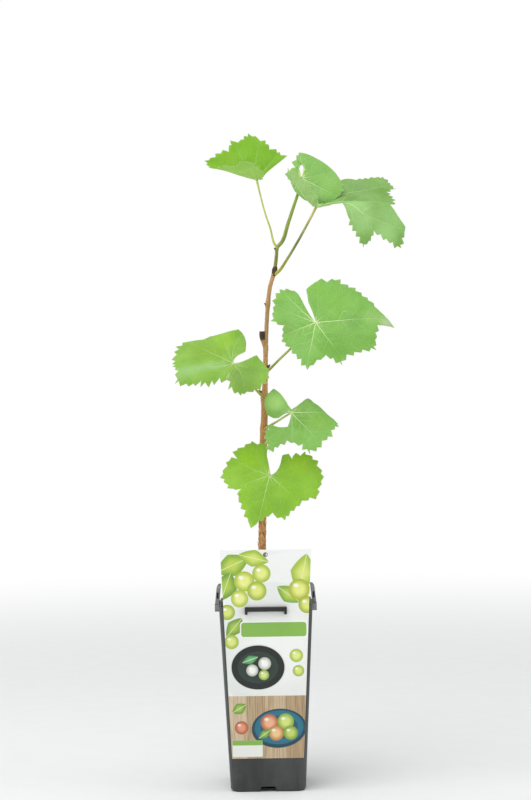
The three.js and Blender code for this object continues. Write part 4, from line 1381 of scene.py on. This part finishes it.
# The print is plain shapes laid one over the other, placed from the middle of the pot's foot.
# disc: x, z, half width, half height, turn, edge colour, middle colour. leaf: the same, with
# a midrib. fruit: x, z, radius, edge colour, middle colour. bar: x, z, half width, half height,
# corner radius, colour. wood: a bar with a second colour for its grain.
card = {
    "ground": "eceeec", "back": "e9eae6", "backSpeck": "d9dcd8", "ink": "f4f6f4",
    "inkGrain": 900, "inkStrength": 0.012, "waver": 60, "woodStretch": (700, 1, 28), "soft": 0.3,
    "rib": "e8eebc", "glint": "fbfcf4",
    "edgeRound": 0.12, "roundSteps": 2, "smoothAngle": 40,
    "moves": [
        [(0, 30), (0, 60), (183.2, 187.3), (0, 0, 2.6)],  # the slot fits the slimmer ledge
        [(30, 60), (0, 60), (30, 240), (1.2, 0, 0)],
        [(0, 60), (0, 60), (240, 260), (1.8, 0, 1.2)],
    ],
    "print": [
        ("disc", 8, 150, 60, 70, 0, "e4e7e3", "f1f3f0"),
        ("leaf", -34, 238, 22, 12, 24, "7fa838", "b9d052"),
        ("leaf", -12, 245, 19, 9, -14, "98b83c", "cfde6a"),
        ("leaf", -41, 216, 18, 12, 70, "6f9c36", "a8c64c"),
        ("leaf", 39, 229, 24, 13, 78, "9fbb3a", "d6e27a"),
        ("leaf", 24, 207, 17, 9, -35, "7ea83a", "b9d058"),
        ("disc", 0.4, 248.6, 2.4, 2.4, 0, "55575c", "3c3e44"),
        ("fruit", -22, 221, 10.5, "a9be36", "e6ec8c"), ("fruit", -4, 229, 9.5, "a3bb38", "e2ea86"),
        ("fruit", -9, 211, 10, "9db635", "dde67c"), ("fruit", -27, 203, 9, "adc33c", "e8ee94"),
        ("fruit", 35, 212, 11, "a6b534", "e4e884"), ("fruit", 43, 196, 9, "9fb234", "dbe27a"),
        ("fruit", -40, 189, 8, "98b23a", "d6e07c"),
        ("leaf", -33, 173, 15, 8, 50, "6e9a38", "a4c24e"),
        ("fruit", -36, 158, 7.5, "9fb93a", "dbe582"), ("bar", 8, 170.5, 35, 8.6, 3.6, "f3f5ef"),
        ("bar", 8, 170.5, 33.8, 7.4, 2.8, "84b54b"),
        ("disc", -9, 131, 29, 24.5, 0, "e3e6e0", "e3e6e0"),
        ("disc", -9, 131, 27.6, 23.1, 0, "0b1613", "1b2b25"),
        ("disc", -9, 131, 21, 16.6, 0, "25372f", "0f1b17"),
        ("leaf", -17, 139, 10, 4.6, 20, "3f8f58", "6fb97c"),
        ("fruit", -2, 135, 6.6, "b9bdb2", "f4f5ef"), ("fruit", -15, 128, 6.2, "b9bdb2", "f4f5ef"),
        ("fruit", -3, 123, 5.4, "8fae48", "d8e68e"), ("fruit", 31, 143, 7, "a6bc3a", "e0e98c"),
        ("fruit", 33, 127, 6, "9db63a", "d8e37e"), ("wood", 0, 66, 60, 35, 0, "c9b393", "a98e6b"),
        ("wood", -31, 66, 8.8, 35, 0.3, "d3c0a2", "b59b78"),
        ("wood", -11.8, 66, 9.4, 35, 0.3, "bda583", "9a805f"),
        ("wood", 8.6, 66, 9.6, 35, 0.3, "cbb594", "ab906c"),
        ("wood", 29.4, 66, 9.8, 35, 0.3, "b79d7a", "967b5a"),
        ("disc", 12, 67, 28.5, 20.5, 4, "0f3f50", "17586c"),
        ("disc", 12, 68, 25.5, 17.8, 4, "1c6d86", "2a88a4"),
        ("disc", 12, 68, 19.5, 12.5, 4, "155468", "1d6a82"),
        ("fruit", 2, 73, 9, "b9663f", "eeb48c"), ("fruit", 19, 74, 8.5, "8fae38", "d4e27e"),
        ("fruit", 9, 62, 8, "b98243", "f0c88e"), ("fruit", 24, 62, 7.5, "7f9f36", "c4d66c"),
        ("leaf", -3, 61, 9, 4.5, 35, "5f9038", "98bf56"),
        ("leaf", -29, 88, 10, 6, 30, "6b9638", "a6c455"), ("fruit", -27, 68, 7, "b4593c", "e69a76"),
        ("bar", -21, 46, 15.5, 8.5, 1, "eef0ea"), ("bar", -21, 52, 15.5, 2.5, 1, "86b64d"),
    ],
}


def printMask(across, up, halfWidth, halfHeight, corner=None):
    # Mask of a rounded bar or, with no corner, of an ellipse, and the distance from its middle
    if corner is None:
        reach = vectorCalc("LENGTH", combine(across / halfWidth, up / halfHeight), out=1)
        soft = card["soft"] / min(halfWidth, halfHeight)
        return fade(reach, 1 + soft, 1 - soft), reach
    over = [calc("MAXIMUM", abs(value) - (half - corner), 0.0)
            for value, half in ((across, halfWidth), (up, halfHeight))]
    reach = vectorCalc("LENGTH", combine(*over), out=1)
    return fade(reach, corner + card["soft"], max(0.0, corner - 0.1)), reach


def printFruit(across, up, tone, radius, edge, middle):
    mask, reach = printMask(across, up, radius, radius)
    tone = mixTones(mask, tone, mixTones(fade(reach, 1, 0.3), edge, middle))
    _, glint = printMask(across + 0.32 * radius, up - 0.38 * radius, 0.3 * radius, 0.22 * radius)
    return mixTones(fade(glint, 1.2, 0.4, 0, 0.75), tone, card["glint"])


def printOval(across, up, tone, halfWidth, halfHeight, degrees, edge, middle, isLeaf):
    c, s = ray(degrees)
    across, up = across * c + up * s, up * c - across * s
    side = up
    if isLeaf:  # pointed at both ends
        side = abs(up) + abs(across) * (0.6 * halfHeight / halfWidth)
    mask, reach = printMask(across, side, halfWidth, halfHeight)
    tone = mixTones(mask, tone, mixTones(fade(reach, 1, 0.2), edge, middle))
    if isLeaf:
        tone = mixTones(fade(abs(up), 0.55, 0.2, 0, 0.7) * mask, tone, card["rib"])
    return tone


def printBar(place, across, up, tone, halfWidth, halfHeight, corner, fill, grainTone=None):
    mask, _ = printMask(across, up, halfWidth, halfHeight, corner)
    fill = colour(fill)
    if grainTone:
        stretched = vectorCalc("MULTIPLY", place, card["woodStretch"])
        grain = noise(stretched, 1, detail=4, distortion=0.4)
        fill = mixTones(fade(grain, 0.42, 0.68), fill, grainTone)
    return mixTones(mask, tone, fill)


def makeCard():
    material, tree, shader = newMaterial("cardPrint")
    place = objectPlace(tree)
    wide, _, high = split(place)
    tone = card["ground"]
    for kind, x, z, *facts in card["print"]:
        across, up = wide * (1 / mm) - x, high * (1 / mm) - z
        if kind == "fruit":
            tone = printFruit(across, up, tone, *facts)
        elif kind in ("disc", "leaf"):
            tone = printOval(across, up, tone, *facts, kind == "leaf")
        else:
            tone = printBar(place, across, up, tone, *facts)
    ink = noise(place, card["inkGrain"], detail=2)
    tone = mixTones(fade(ink, 0.3, 0.7, 0, card["inkStrength"]), tone, card["ink"])
    normal = addNode(tree, "ShaderNodeNewGeometry", out="Normal")
    front = calc("LESS_THAN", split(normal)[1], -0.7)
    tone = mixTones(front, mixTones(ink, card["back"], card["backSpeck"]), tone)
    waver = noise(place, card["waver"], detail=2)
    finishSkin(shader, tone, ink * 0.12 + 0.28, waver, 0.25, 0.3)
    finishPiece(nodeCopy("picture_card", "card_panel", material, card), "card", "picture_card")
    print("card made")


makeCard()
